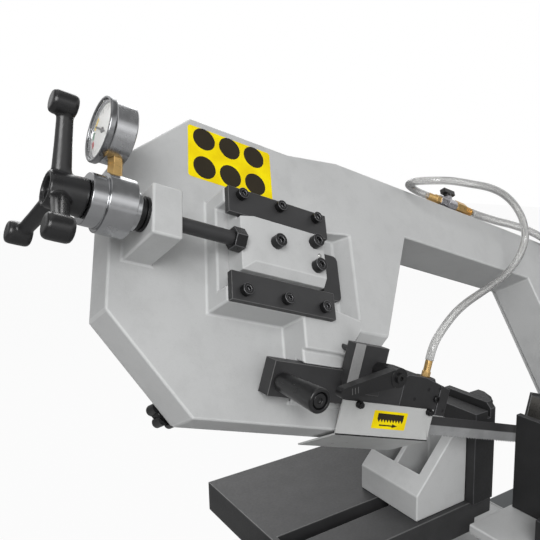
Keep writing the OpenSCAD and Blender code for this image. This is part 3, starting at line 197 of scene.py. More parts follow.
def paintFinish(name, colour, rough=0.4, grit=420, depth=0.00025, mottle=0.05):
    made, tree, shader = startFinish(name)
    broad = grain(tree, 7, 4)
    fine = grain(tree, grit, 3, 0.6)
    patchy = grain(tree, 38, 5, 0.62)
    body = shades(tree, broad, (0.3, scaled(colour, 1 - mottle)), (0.7, scaled(colour, 1 + mottle)))
    spots = shades(tree, patchy, (0.36, scaled(colour, 0.86)), (0.52, scaled(colour, 1.0)))
    mixed = blendColours(tree, 0.35, body, spots)
    speck = shades(tree, fine, (0.28, (0.8, 0.8, 0.8, 1)), (0.42, (1, 1, 1, 1)))
    mixed = blendColours(tree, 0.3, mixed, speck, "MULTIPLY")
    tree.links.new(mixed, shader.inputs["Base Color"])
    tree.links.new(spread(tree, patchy, rough - 0.07, rough + 0.09), shader.inputs["Roughness"])
    raised(tree, shader, (fine, depth, 0.5), (grain(tree, 60, 2), depth * 3, 0.35))
    return made


def steelFinish(name, colour, rough=0.35, metal=1.0, lines=(1, 1, 1), scale=300, blotch=0.12, bump=0.2):
    made, tree, shader = startFinish(name, Metallic=metal)
    brushed = grain(tree, scale, 4, 0.6, lines)
    patchy = grain(tree, 26, 5, 0.6)
    body = shades(tree, patchy, (0.3, scaled(colour, 1 - blotch)), (0.7, scaled(colour, 1 + blotch)))
    drawn = shades(tree, brushed, (0.3, (0.82, 0.82, 0.82, 1)), (0.7, (1, 1, 1, 1)))
    tree.links.new(blendColours(tree, 0.6, body, drawn, "MULTIPLY"), shader.inputs["Base Color"])
    tree.links.new(spread(tree, brushed, rough - 0.06, rough + 0.1), shader.inputs["Roughness"])
    raised(tree, shader, (brushed, 0.00005, bump))
    return made


def plasticFinish(name, colour, rough=0.35, scale=700, depth=0.00008, gloss=0.5):
    made, tree, shader = startFinish(name)
    fine = grain(tree, scale, 2)
    patchy = grain(tree, 30, 4)
    tree.links.new(
        shades(tree, patchy, (0.3, scaled(colour, 0.85)), (0.7, scaled(colour, 1.15))),
        shader.inputs["Base Color"],
    )
    tree.links.new(spread(tree, patchy, rough - 0.05, rough + 0.1), shader.inputs["Roughness"])
    shader.inputs["Specular IOR Level"].default_value = gloss
    raised(tree, shader, (fine, depth, 0.3))
    return made


def clearFinish(name, colour, rough, index, thick=1.0, wallLight=()):
    # the wall greys paint light and shade over a tube's wall, from seen square-on (0) to seen edge-on (1):
    # a painted highlight line and painted shade on the rims
    made, tree, shader = startFinish(name, Transmission_Weight=thick, IOR=index)
    haze = grain(tree, 90, 3)
    body = shades(tree, haze, (0.3, scaled(colour, 0.98)), (0.7, colour))
    if wallLight:
        facing = tree.nodes.new("ShaderNodeLayerWeight")
        facing.inputs["Blend"].default_value = 0.5
        banded = shades(tree, facing.outputs["Facing"], *[(at, tone(g, g, g)) for at, g in wallLight])
        body = blendColours(tree, 1.0, body, banded, "MULTIPLY")
    tree.links.new(body, shader.inputs["Base Color"])
    tree.links.new(spread(tree, haze, rough, rough + 0.03), shader.inputs["Roughness"])
    return made


def bandedSteel(name, colour, dark, direction, offset, band):
    # steel that is darker where a point's height along direction lies inside the band
    made = steelFinish(name, colour, 0.42, 0.5, (1, 6, 6), 90, 0.16)
    tree = made.node_tree
    shader = tree.nodes["Principled BSDF"]
    where = tree.nodes.new("ShaderNodeTexCoord")
    along = tree.nodes.new("ShaderNodeVectorMath")
    along.operation = "DOT_PRODUCT"
    along.inputs[1].default_value = direction
    tree.links.new(where.outputs["Object"], along.inputs[0])
    low, high, soft = offset + band["low"], offset + band["high"], band["soft"]
    up = spread(tree, along.outputs["Value"], 0.0, 1.0, low - soft, low + soft)
    down = spread(tree, along.outputs["Value"], 1.0, 0.0, high - soft, high + soft)
    both = tree.nodes.new("ShaderNodeMath")
    both.operation = "MULTIPLY"
    tree.links.new(up, both.inputs[0])
    tree.links.new(down, both.inputs[1])
    plain = shader.inputs["Base Color"].links[0].from_socket
    tree.links.new(blendColours(tree, both.outputs[0], plain, dark), shader.inputs["Base Color"])
    return made


# The blade is darker in a band above its middle, which runs at h (mm), and bright down to the teeth.
# low and high are where the dark part starts and ends, in metres above the middle
bladeDarkBand = {"h": 6.4, "low": 0.0013, "high": 0.0142, "soft": 0.0006}
bladeUp = bowFrame.to_3x3() @ Vector((0, 0, 1))
bladeOffset = bladeUp.dot(bowFrame @ Vector((0, 0, bladeDarkBand["h"] * mm)))

castPaint = paintFinish("castGreyPaint", tone(190, 191, 191), 0.42)
# castEdge is a lighter tone for the softened edges: partly wear, partly a painted highlight along them
castEdge = paintFinish("castGreyPaintEdge", tone(200, 201, 201), 0.36, depth=0.0001)
standPaint = paintFinish("standDarkPaint", tone(74, 78, 80), 0.38, grit=600, depth=0.00012)
controlPaint = paintFinish("controlPalePaint", tone(208, 209, 208), 0.36, grit=700, depth=0.0001)
motorPaint = paintFinish("motorDarkPaint", tone(80, 84, 86), 0.4)
guardPaint = paintFinish("guardPaint", tone(190, 191, 190), 0.34, grit=700, depth=0.00008, mottle=0.03)
wheelIron = steelFinish("wheelIron", tone(150, 152, 154), 0.38, 0.9)
darkSteel = steelFinish("blackenedSteel", tone(58, 58, 59), 0.48, 0.25, (1, 1, 3), 240, 0.14, 0.3)
# darkEdge, blackIronEdge and screwEdge are lighter edge tones: partly wear, partly a painted highlight
# along the edges
darkEdge = steelFinish("blackenedSteelEdge", tone(112, 112, 112), 0.38, 0.5)
stripSteel = steelFinish("groundStrip", tone(164, 164, 164), 0.4, 0.35, (2, 12, 2), 200, 0.06, 0.15)
blackIron = steelFinish("blackIron", tone(40, 40, 41), 0.5, 0.1, (1, 1, 1), 260, 0.15, 0.4)
blackIronEdge = steelFinish("blackIronEdge", tone(82, 82, 84), 0.42, 0.3)
screwBlack = steelFinish("screwBlack", tone(34, 34, 35), 0.3, 0.45, (1, 1, 1), 500, 0.2, 0.2)
screwEdge = steelFinish("screwBlackEdge", tone(104, 104, 106), 0.3, 0.6)
groundSteel = steelFinish("groundSteel", tone(180, 180, 178), 0.3, 1.0, (1, 14, 14), 160)
bladeSteel = bandedSteel(
    "bladeSteel", tone(176, 177, 178), tone(72, 72, 73), bladeUp, bladeOffset, bladeDarkBand
)
chromeSteel = steelFinish("chromeSteel", tone(178, 179, 181), 0.18, 1.0, (1, 1, 1), 60, 0.04, 0.02)
caseSteel = steelFinish("caseSteel", tone(190, 191, 193), 0.24, 1.0, (1, 1, 1), 60, 0.04, 0.02)
bezelSteel = steelFinish("bezelSteel", tone(152, 153, 155), 0.24, 1.0, (1, 1, 1), 60, 0.04, 0.02)
blackPlastic = plasticFinish("blackPlastic", tone(27, 27, 28), 0.32)
handleBlack = plasticFinish("handleBlack", tone(30, 30, 31), 0.26, 420, 0.00012)
brassFinish = steelFinish("turnedBrass", tone(232, 192, 126), 0.3, 0.8, (1, 1, 1), 260, 0.1, 0.1)
nickelFinish = steelFinish("valveNickel", tone(196, 195, 200), 0.26, 0.9, (1, 1, 1), 200, 0.06, 0.1)
# the hose's greys by how square-on it is seen: a painted bright highlight line near 0.24 and painted shade
# darkening its rims
hoseWallLight = ((0.0, 232), (0.16, 236), (0.24, 255), (0.33, 230), (0.62, 190), (1.0, 120))
hoseFinish = clearFinish("clearHose", tone(240, 240, 239), 0.06, 1.05, 0.72, hoseWallLight)
hoseShader = hoseFinish.node_tree.nodes["Principled BSDF"]
hoseShader.inputs["Coat Weight"].default_value = 0.8  # a glossy outer skin
lensFinish = clearFinish("gaugeLens", tone(254, 254, 254), 0.02, 1.1)
dialFinish = plasticFinish("dialWhite", tone(224, 224, 222), 0.5)
dialYellow = plasticFinish("dialYellow", tone(232, 198, 20), 0.5)
dialGreen = plasticFinish("dialGreen", tone(34, 132, 92), 0.5)
dialRed = plasticFinish("dialRed", tone(212, 44, 50), 0.5)
greenPlastic = plasticFinish("greenPlastic", tone(24, 132, 66), 0.3)
redPlastic = plasticFinish("redPlastic", tone(196, 30, 24), 0.3)
carbideFinish = steelFinish("groundCarbide", tone(104, 102, 98), 0.3, 0.8)
yellowFilm = plasticFinish("yellowFilm", tone(252, 220, 0), 0.5, 900, 0.00002, 0.15)
printBlack = plasticFinish("printBlack", tone(44, 38, 26), 0.5, 900, 0.00002, 0.2)
print("finishes made")


# Mesh tools
def link(name, mesh):
    made = bpy.data.objects.new(name, mesh)
    bpy.context.scene.collection.objects.link(made)
    return made


def finishMesh(name, shape, finishes, body, smooth=35.0, weighted=True):
    # shape is a bmesh in the machine's frame, in metres
    mesh = bpy.data.meshes.new(name)
    shape.to_mesh(mesh)
    shape.free()
    for finish in finishes:
        mesh.materials.append(finish)
    mesh.shade_smooth()
    mesh.set_sharp_from_angle(angle=math.radians(smooth))
    made = link(name, mesh)
    if weighted:
        even = made.modifiers.new("evenShade", "WEIGHTED_NORMAL")
        even.keep_sharp = True
    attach(made, body)
    return made


bodyOf = {n: o["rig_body"] for n, o in nodes.items()}
cleaning = {"weld": 2e-6, "flat": 0.4}  # metres, degrees
softening = {"corner": 32.0, "shortest": 0.6}  # degrees, and the shortest edge as a share of the width


def nodeShape(node):
    shape = bmesh.new()
    shape.from_mesh(nodes[node].data)
    bmesh.ops.remove_doubles(shape, verts=shape.verts, dist=cleaning["weld"])
    bmesh.ops.dissolve_limit(
        shape, angle_limit=math.radians(cleaning["flat"]), use_dissolve_boundaries=False,
        verts=shape.verts, edges=shape.edges, delimit=set(),
    )
    bmesh.ops.recalc_face_normals(shape, faces=shape.faces)
    return shape


def softenEdges(shape, width, rings, worn):
    limit, shortest = math.radians(softening["corner"]), width * softening["shortest"]
    chosen = [
        e for e in shape.edges
        if len(e.link_faces) == 2 and e.calc_face_angle(0.0) > limit and e.calc_length() > shortest
    ]
    if chosen:
        bmesh.ops.bevel(
            shape, geom=chosen, offset=width, segments=rings, profile=0.5,
            affect="EDGES", clamp_overlap=False, material=1 if worn else -1,
        )


def dress(node, slotName, finish, edge, rings=2, worn=None, zones=(), place=bowFrame):
    # edge is the softened edges' width in millimetres, and the edges get their own lighter finish: partly
    # wear, partly a painted highlight
    # zones are (finish, test) pairs, tested on a face's middle (mm) and normal, both as place has them
    shape = nodeShape(node)
    for face in shape.faces:
        face.material_index = 0
    if edge:
        softenEdges(shape, edge * mm, rings, worn is not None)
    finishes = [finish] + ([worn] if worn else [])
    back = place.inverted()
    for extra, test in zones:
        for face in shape.faces:
            middle = (back @ face.calc_center_median()) / mm
            if test(middle, back.to_3x3() @ face.normal):
                face.material_index = len(finishes)
        finishes.append(extra)
    made = finishMesh(node + "_dressed", shape, finishes, bodyOf[node])
    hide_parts(node)


# Hoses, with their routes and sizes in millimetres
coolantHose = {
    "route": [
        (341, 25, 96), (341, 25, 104), (342, 25, 114), (348, 27, 127), (364, 31, 148), (385, 37, 167),
        (410, 43, 184), (438, 50, 199), (468, 56, 216), (498, 62, 235), (524, 68, 257), (541, 73, 281),
        (546, 76, 306), (534, 79, 330), (508, 80, 347), (473, 78, 355), (436, 76, 355), (399, 78, 350),
        (366, 86, 345), (344, 101, 339), (336, 123, 335), (345, 145, 333), (365, 160, 333.5),
        (386, 167, 333), (400, 167.8, 332.7), (409.8, 167.8, 332.7),
    ],
    "outer": 5.5, "bore": 3.7, "sides": 20, "frame": bowFrame,
}
supplyHose = {
    "route": [
        (517.5, 372, 21), (545, 372, 22), (580, 371, 26), (615, 370, 32), (650, 367, 37),
        (685, 361, 40), (715, 350, 41), (740, 333, 41), (757, 311, 41), (768, 288, 40), (781, 266, 37),
        (797, 249, 32), (814, 239, 27), (822, 236.5, 24.4), (829.9, 236, 24.05),
    ],
    "outer": 6.5, "bore": 4.6, "sides": 20, "frame": faceFrame,
}


def smoothRoute(points, steps=5):
    found = []
    for i in range(len(points) - 1):
        a, b = points[i], points[i + 1]
        before = points[i - 1] if i else a - (b - a)
        after = points[i + 2] if i + 2 < len(points) else b + (b - a)
        for k in range(steps):
            t = k / steps
            found.append(
                0.5 * ((2 * a) + (b - before) * t + (2 * before - 5 * a + 4 * b - after) * t * t
                       + (3 * a - before - 3 * b + after) * t ** 3)
            )
    return found + [points[-1]]


def tubeShape(points, radii, sides):
    # radii are the tube's outside and its bore
    shape = bmesh.new()
    side = Vector((0, 1, 0))
    frames = []
    for i, p in enumerate(points):
        ahead = (points[min(i + 1, len(points) - 1)] - points[max(i - 1, 0)]).normalized()
        side = (side - ahead * side.dot(ahead)).normalized()
        frames.append((p, side.copy(), ahead.cross(side)))
    turns = [2 * math.pi * k / sides for k in range(sides)]
    walls = [
        [
            [shape.verts.new(p + radius * (math.cos(t) * a + math.sin(t) * b)) for t in turns]
            for p, a, b in frames
        ]
        for radius in radii
    ]
    for w, rings in enumerate(walls):
        for i in range(len(rings) - 1):
            for k in range(sides):
                m = (k + 1) % sides
                quad = [rings[i][k], rings[i][m], rings[i + 1][m], rings[i + 1][k]]
                shape.faces.new(quad if w == 0 else quad[::-1])
    for i in (0, -1):
        for k in range(sides):
            m = (k + 1) % sides
            quad = [walls[0][i][k], walls[1][i][k], walls[1][i][m], walls[0][i][m]]
            shape.faces.new(quad if i == 0 else quad[::-1])
    bmesh.ops.recalc_face_normals(shape, faces=shape.faces)
    return shape


def hosePiece(name, h):
    points = smoothRoute([h["frame"] @ (Vector(p) * mm) for p in h["route"]])
    shape = tubeShape(points, (h["outer"] * mm, h["bore"] * mm), h["sides"])
    mesh = bpy.data.meshes.new(name)
    shape.to_mesh(mesh)
    shape.free()
    mesh.materials.append(hoseFinish)
    mesh.shade_smooth()
    made = link(name, mesh)
    length = sum((b - a).length for a, b in zip(points, points[1:]))
    print(name, "is", round(length, 4), "m long")
    return made, points


hose, hosePath = hosePiece("coolant_hose_clear", coolantHose)
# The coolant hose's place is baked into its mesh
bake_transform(hose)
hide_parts("coolant_hose")
feed, feedPath = hosePiece("supply_hose_clear", supplyHose)
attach(feed, "bow")
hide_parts("supply_hose")
print("hoses laid")


def dressAll(looks):
    # looks gives each node its slot, finish and softened edge in mm, then what else dress takes
    for node, (slotName, finish, edge, *more) in looks.items():
        dress(node, slotName, finish, edge, **dict(*more))


# Stand, bed and vise
doorPull = {"left": 226, "back": -216.2, "low": 398, "high": 482}


def onDoorPull(p, n):
    return p.x > doorPull["left"] and p.y < doorPull["back"] and doorPull["low"] < p.z < doorPull["high"]


standLooks = {
    "cabinet": ("machine_paint_dark", standPaint, 1.5),
    "cabinet_door": (
        "machine_paint_dark", standPaint, 1.2,
        {"place": Matrix.Identity(4), "zones": [(blackPlastic, onDoorPull)]},
    ),
    "coolant_tank": ("machine_paint_dark", standPaint, 1.2),
    "base_casting": ("cast_iron_paint", castPaint, 2.5, {"rings": 3, "worn": castEdge}),
    "vise_bed": ("blackened_steel", darkSteel, 1.2, {"worn": darkEdge}),
    "fixed_jaw": ("black_iron", blackIron, 0.8, {"worn": blackIronEdge}),
    "jaw_carriage": ("cast_iron_paint", castPaint, 2.0, {"worn": castEdge}),
    "left_jaw": ("black_iron", blackIron, 0.8, {"worn": blackIronEdge}),
    "vise_screw": ("ground_steel", groundSteel, 0.5),
    "vise_handwheel": ("black_iron", blackIron, 0),
    "crank_grip": ("black_plastic", blackPlastic, 1.5),
    "control_box": ("control_paint", controlPaint, 1.0),
    "start_button": ("green", greenPlastic, 0.8),
    "stop_button": ("red", redPlastic, 1.5),
    "swivel_arm": ("cast_iron_paint", castPaint, 2.5, {"rings": 3, "worn": castEdge}),
    "swivel_bolt": ("ground_steel", groundSteel, 0.8),
    "swivel_lever": ("black_plastic", blackPlastic, 0),
    "hinge_pin": ("ground_steel", groundSteel, 0.8),
    "feed_cylinder": ("motor_paint", motorPaint, 0.8),
    "feed_rod": ("ground_steel", groundSteel, 0.3),
}
dressAll(standLooks)
print("stand dressed")

# Bow casting and its insides
bowLooks = {
    "bow_frame": ("cast_iron_paint", castPaint, 2.6, {"rings": 3, "worn": castEdge}),
    "rear_cover": ("cast_iron_paint", castPaint, 0.6),
    "cover_hinge_pins": ("ground_steel", groundSteel, 0.4),
    "cover_knob_left": ("black_plastic", blackPlastic, 1.2),
    "cover_knob_right": ("black_plastic", blackPlastic, 1.2),
    "idler_axle": ("ground_steel", groundSteel, 0.5),
    "idler_bearings": ("ground_steel", groundSteel, 0.6),
    "idler_wheel": ("wheel_iron", wheelIron, 0.8),
    "drive_wheel": ("wheel_iron", wheelIron, 0.8),
    "drive_shaft": ("ground_steel", groundSteel, 0.8),
    "gearbox": ("cast_iron_paint", castPaint, 3.0, {"rings": 3, "worn": castEdge}),
    "motor": ("motor_paint", motorPaint, 0.8),
    "blade": ("blade_steel", bladeSteel, 0),
}
dressAll(bowLooks)
print("bow dressed")

# Blade tension
spindleEnd = {"right": -150, "facing": -0.5}  # the turned end that shows in the handle's hub
gauge = {"middle": (-133, 267, 50), "bezel": 7.2, "dial": 6}
gaugeFrame = faceFrame @ moved(*gauge["middle"])


def onSpindleEnd(p, n):
    return p.x < spindleEnd["right"] and n.x < spindleEnd["facing"]


def onBezel(p, n):
    return p.x < gauge["bezel"]


tensionLooks = {
    "slide_gibs": ("blackened_steel", darkSteel, 0.6, {"worn": darkEdge}),
    "gib_screws": ("black_iron", screwBlack, 0.6, {"worn": screwEdge}),
    "slide_block": ("cast_iron_paint", castPaint, 1.0, {"worn": castEdge}),
    "slide_screws": ("black_iron", screwBlack, 0.6, {"worn": screwEdge}),
    "tension_spindle": (
        "blackened_steel", darkSteel, 0.6, {"place": faceFrame, "zones": [(groundSteel, onSpindleEnd)]},
    ),
    "spring_washers": ("black_iron", screwBlack, 0.4),
    "load_cell": ("chrome", chromeSteel, 0.8),
    "gauge_stem": ("brass", brassFinish, 0.5),
    "gauge_case": (
        "chrome", caseSteel, 1.6, {"rings": 3, "place": gaugeFrame, "zones": [(bezelSteel, onBezel)]},
    ),
    "gauge_dial": ("dial", dialFinish, 0),
    "gauge_pointer": ("black_plastic", screwBlack, 0),
    "gauge_lens": ("lens", lensFinish, 0.3),
}
dressAll(tensionLooks)
print("tension gear dressed")

# Blade guides
groundStrip = {"back": -14.15, "right": 189}
guardScrews = {"back": -4.45}  # all that stands further forward is a knurled screw
fixedPads = {"middle": 34.86, "half": 4.9, "right": 671, "top": 24.8}


def onGroundStrip(p, n):
    return p.y < groundStrip["back"] and p.x < groundStrip["right"]


def onGuardScrews(p, n):
    return p.y < guardScrews["back"]


def onFixedPads(p, n):
    across = abs(p.y - fixedPads["middle"])
    return across < fixedPads["half"] and p.x < fixedPads["right"] and p.z < fixedPads["top"]


guideLooks = {
    "clamp_block": (
        "blackened_steel", darkSteel, 0.6, {"worn": darkEdge, "zones": [(stripSteel, onGroundStrip)]},
    ),
    "clamp_lever": ("black_plastic", blackPlastic, 0),
    "guide_bar": ("blackened_steel", darkSteel, 0.6, {"worn": darkEdge}),
    "bar_grip": ("black_plastic", blackPlastic, 0.8),
    "guide_head": ("black_iron", blackIron, 1.0, {"worn": blackIronEdge}),
    "guide_pads": ("carbide", carbideFinish, 0.3),
    "blade_guard": ("cast_iron_paint", guardPaint, 0.3, {"zones": [(screwBlack, onGuardScrews)]}),
    "coolant_fitting": ("brass", brassFinish, 0.4),
    "fixed_guide": (
        "blackened_steel", darkSteel, 0.6, {"worn": darkEdge, "zones": [(carbideFinish, onFixedPads)]},
    ),
    "coolant_valve": ("chrome", nickelFinish, 0.5),
    "hose_fittings": ("brass", brassFinish, 0.3),
    "valve_handle": ("black_plastic", blackPlastic, 0.8),
}
dressAll(guideLooks)
print("guides dressed")


# Panels
def plate(outline, thick, place, lift=0.0):
    # a thin flat sheet with its outline in millimetres, its back on the plane
    shape = bmesh.new()
    low = [shape.verts.new(place @ Vector((x * mm, y * mm, lift * mm))) for x, y in outline]
    high = [shape.verts.new(place @ Vector((x * mm, y * mm, (lift + thick) * mm))) for x, y in outline]
    count = len(outline)
    shape.faces.new(low[::-1])
    shape.faces.new(high)
    for i in range(count):
        k = (i + 1) % count
        shape.faces.new([low[i], low[k], high[k], high[i]])
    bmesh.ops.recalc_face_normals(shape, faces=shape.faces)
    return shape


def roundedBox(x0, y0, x1, y1, r, steps=6):
    found = []
    corners = ((x1 - r, y1 - r, 0), (x0 + r, y1 - r, 90), (x0 + r, y0 + r, 180), (x1 - r, y0 + r, 270))
    for cx, cy, a0 in corners:
        for k in range(steps + 1):
            a = math.radians(a0 + 90 * k / steps)
            found.append((cx + r * math.cos(a), cy + r * math.sin(a)))
    return found


def discLine(cx, cy, r, steps=40):
    turns = [2 * math.pi * k / steps for k in range(steps)]
    return [(cx + r * math.cos(t), cy + r * math.sin(t)) for t in turns]


def joinShapes(target, extra, index=0):
    # adds extra's faces to target with their own finish
    pairs = {v: target.verts.new(v.co) for v in extra.verts}
    for f in extra.faces:
        made = target.faces.new([pairs[v] for v in f.verts])
        made.material_index = index
    extra.free()
    return target


# Six black discs on a yellow sheet
signPanel = {
    "box": (-3.5, 284, 119, 358), "corner": 4, "sheet": 0.25, "ink": 0.06,
    "disc": 15.5, "across": (19, 56, 93), "up": (343, 302),
}
sheet = signPanel["sheet"]
shape = plate(roundedBox(*signPanel["box"], signPanel["corner"]), sheet, faceFrame)
for x in signPanel["across"]:
    for y in signPanel["up"]:
        joinShapes(shape, plate(discLine(x, y, signPanel["disc"]), signPanel["ink"], faceFrame, sheet), 1)
finishMesh("sign_panel", shape, [yellowFilm, printBlack], "bow", weighted=False)

# On the guard: a yellow label with a strip of teeth and an arrow the way the blade runs
bladeLabel = {
    "front": -4.4, "box": (236, 7.6, 293, 29.6), "corner": 1.5, "lift": 0.01, "sheet": 0.15, "ink": 0.06,
    "strip": (243, 287, 17.5, 26.5), "teeth": 9, "depth": 2, "slope": 0.75,
    "arrow": (248, 279, 12.0), "head": 9, "shaft": 0.8, "barb": 2.4,
}


def upright(y):
    # a plane in front of the bow's upright parts: across it, up it, and out to the front
    turn = Matrix(((1, 0, 0, 0), (0, 0, -1, 0), (0, 1, 0, 0), (0, 0, 0, 1)))
    return bowFrame @ Matrix.Translation(Vector((0, y * mm, 0))) @ turn


def teethLine(x0, x1, low, top, b):
    step = (x1 - x0) / b["teeth"]
    found = [(x1, top), (x0, top)]
    for k in range(b["teeth"]):
        found += [(x0 + k * step, low + b["depth"]), (x0 + (k + b["slope"]) * step, low - b["depth"])]
    return found + [(x1, low + b["depth"])]


def arrowLine(x0, x1, y, b):
    neck, shaft, barb = x1 - b["head"], b["shaft"], b["barb"]
    return [
        (x0, y - shaft), (neck, y - shaft), (neck, y - barb), (x1, y),
        (neck, y + barb), (neck, y + shaft), (x0, y + shaft),
    ]


front = upright(bladeLabel["front"])
labelEdge = roundedBox(*bladeLabel["box"], bladeLabel["corner"], 4)
label = plate(labelEdge, bladeLabel["sheet"], front, bladeLabel["lift"])
inked = bladeLabel["lift"] + bladeLabel["sheet"]
for outline in (teethLine(*bladeLabel["strip"], bladeLabel), arrowLine(*bladeLabel["arrow"], bladeLabel)):
    joinShapes(label, plate(outline, bladeLabel["ink"], front, inked), 1)
finishMesh("blade_label", label, [yellowFilm, printBlack], "guide", weighted=False)

# The dial's face looks along the bow to the left. Angles are in degrees
dialMarks = {
    "ring": (22.0, 26.8), "arcs": ((118, 149), (154, 173), (179, 197)), "arcInk": 0.04, "arcLift": 0.01,
    "ticks": 33, "start": -45, "sweep": 270, "every": 4, "out": 25.5, "ink": 0.05, "lift": 0.02,
    "long": (20.5, 0.7), "short": (23.5, 0.35),
}


def arcLine(r0, r1, a0, a1, steps=14):
    turns = [math.radians(a0 + (a1 - a0) * k / steps) for k in range(steps + 1)]
    outer = [(r1 * math.cos(a), r1 * math.sin(a)) for a in turns]
    inner = [(r0 * math.cos(a), r0 * math.sin(a)) for a in turns]
    return outer + inner[::-1]


turn = Matrix(((0, 0, -1, 0), (0, 1, 0, 0), (1, 0, 0, 0), (0, 0, 0, 1)))
dialPlane = gaugeFrame @ moved(gauge["dial"], 0, 0) @ turn
marks = bmesh.new()
for k, (a0, a1) in enumerate(dialMarks["arcs"]):
    arc = arcLine(*dialMarks["ring"], a0, a1)
    joinShapes(marks, plate(arc, dialMarks["arcInk"], dialPlane, dialMarks["arcLift"]), k)
for k in range(dialMarks["ticks"]):
    a = dialMarks["start"] + dialMarks["sweep"] * k / (dialMarks["ticks"] - 1)
    inner, half = dialMarks["short" if k % dialMarks["every"] else "long"]
    tick = arcLine(inner, dialMarks["out"], a - half, a + half, 2)
    joinShapes(marks, plate(tick, dialMarks["ink"], dialPlane, dialMarks["lift"]), 3)
finishMesh("dial_marks", marks, [dialYellow, dialGreen, dialRed, printBlack], "bow", weighted=False)
print("panels made")


# Small things in front of the guides, and the tension handle
def turned(profile, place, sides=28):
    # profile is (radius, height) in millimetres, turned round place's third axis, closed at both ends
    shape = bmesh.new()
    turns = [2 * math.pi * k / sides for k in range(sides)]
    rings = []
    for radius, height in profile:
        if radius < 0.01:
            ring = [(0, 0, height)]  # one point on the axis
        else:
            ring = [(radius * math.cos(t), radius * math.sin(t), height) for t in turns]
        rings.append([shape.verts.new(place @ (Vector(p) * mm)) for p in ring])
    for low, high in zip(rings, rings[1:]):
        for k in range(sides):
            m = (k + 1) % sides
            corners = [low[k % len(low)], low[m % len(low)], high[m % len(high)], high[k % len(high)]]
            seen = []
            for c in corners:
                if c not in seen:
                    seen.append(c)
            if len(seen) > 2:
                shape.faces.new(seen)
    bmesh.ops.recalc_face_normals(shape, faces=shape.faces)
    return shape


def blended(name, shape, voxel, rounds, finish, body):
    # the solids in shape are run together into one casting with soft corners
    mesh = bpy.data.meshes.new(name + "Rough")
    shape.to_mesh(mesh)
    shape.free()
    rough = link(name + "Rough", mesh)
    merge = rough.modifiers.new("merge", "REMESH")
    merge.mode = "VOXEL"
    merge.voxel_size = voxel * mm
    even = rough.modifiers.new("even", "SMOOTH")
    even.factor = 0.5
    even.iterations = rounds
    cast = bpy.data.meshes.new_from_object(rough.evaluated_get(bpy.context.evaluated_depsgraph_get()))
    bpy.data.objects.remove(rough)
    cast.materials.clear()
    cast.materials.append(finish)
    cast.shade_smooth()
    made = link(name, cast)
    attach(made, body)
    return made


# hub, spoke and barrel are turned profiles: (radius, height) along the spindle, the arm and the knob
tensionHandle = {
    "middle": (0, 184, 50), "arms": (23, 143, 263), "armRoot": -164, "tilt": 8, "oval": (1.12, 0.82, 1, 1),
    "hub": (
        (8.0, -142), (18.4, -142), (19, -143), (17.4, -176.5), (16.2, -178),
        (13.6, -178), (13, -177.2), (12.4, -170), (8.0, -170), (8.0, -142),
    ),
    "spoke": ((0, 12), (9.6, 12), (8.2, 22), (7.4, 45), (7.0, 66), (7.6, 76), (0, 76)),
    "barrel": (
        (0, -12.2), (8.0, -12.2), (10.4, -11.0), (11.5, -8.2), (11.6, 0),
        (11.5, 8.2), (10.4, 11.0), (8.0, 12.2), (0, 12.2),
    ),
    "barrelAt": (-177, 79, 0), "voxel": 1.1, "rounds": 4,
}


def handleShape(h):
    whole = bmesh.new()
    centre = faceFrame @ moved(*h["middle"])
    joinShapes(whole, turned(h["hub"], centre @ rotated(90, "Y"), 48))
    for a in h["arms"]:
        arm = centre @ rotated(a, "X")
        spoke = arm @ moved(h["armRoot"], 0, 0) @ rotated(h["tilt"], "Z") @ rotated(-90, "X")
        joinShapes(whole, turned(h["spoke"], spoke @ Matrix.Diagonal(Vector(h["oval"])), 24))
        joinShapes(whole, turned(h["barrel"], arm @ moved(*h["barrelAt"]) @ rotated(90, "Y"), 32))
    return whole


handle = blended(
    "tension_handle_cast", handleShape(tensionHandle), tensionHandle["voxel"], tensionHandle["rounds"],
    handleBlack, "spindle",
)
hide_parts("tension_handle")

# Three raised lines near the clamp lever's tip
leverMarks = {
    "front": -49.0, "hub": (215, 79, 0), "turn": 19, "reach": 76, "fromTip": (9, 13, 17),
    "half": (0.5, 3.6), "corner": 0.4, "thick": 0.25, "lift": -0.02,
}
ridges = bmesh.new()
leverFace = upright(leverMarks["front"]) @ moved(*leverMarks["hub"]) @ rotated(leverMarks["turn"], "Z")
w, h = leverMarks["half"]
for d in leverMarks["fromTip"]:
    x = d - leverMarks["reach"]
    ridge = roundedBox(x - w, -h, x + w, h, leverMarks["corner"], 3)
    joinShapes(ridges, plate(ridge, leverMarks["thick"], leverFace, leverMarks["lift"]))
finishMesh("lever_ridges", ridges, [darkEdge], "lever", weighted=False)

# On the moving guide's head: a cap screw and four drilled holes, each (along, up, radius)
headDetails = {
    "front": -2.4, "screw": (339.1, 51.5, 4.6),
    "holes": ((342.5, 66.0, 1.7), (356.5, 37.5, 1.7), (300, 48, 1.9), (322, 62, 1.9)),
}
s, h, r = headDetails["screw"]
screwLine = [(r, -0.4), (r, 2.6), (r - 0.5, 3.1), (r * 0.56, 3.1), (r * 0.5, 1.2), (0, 1.0)]
screw = turned(screwLine, upright(headDetails["front"]) @ moved(s, h, 0), 24)
finishMesh("head_screw", screw, [screwBlack], "guide", smooth=28)
holes = bmesh.new()
for s, h, r in headDetails["holes"]:
    rim = [(r + 0.5, -0.05), (r + 0.4, 0.12), (r, 0.12), (r - 0.2, 0.02), (0, 0.02)]
    joinShapes(holes, turned(rim, upright(headDetails["front"]) @ moved(s, h, 0), 20))
finishMesh("head_holes", holes, [screwBlack], "guide", smooth=28)

# The pin between the slide's right two screws
slidePin = {"middle": (139.5, 188.5, 55), "profile": ((2.6, -0.2), (2.6, 1.2), (2.1, 1.7), (0, 1.7))}
pin = turned(slidePin["profile"], faceFrame @ moved(*slidePin["middle"]), 20)
finishMesh("slide_pin", pin, [groundSteel], "slide", smooth=28)
print("small parts made")


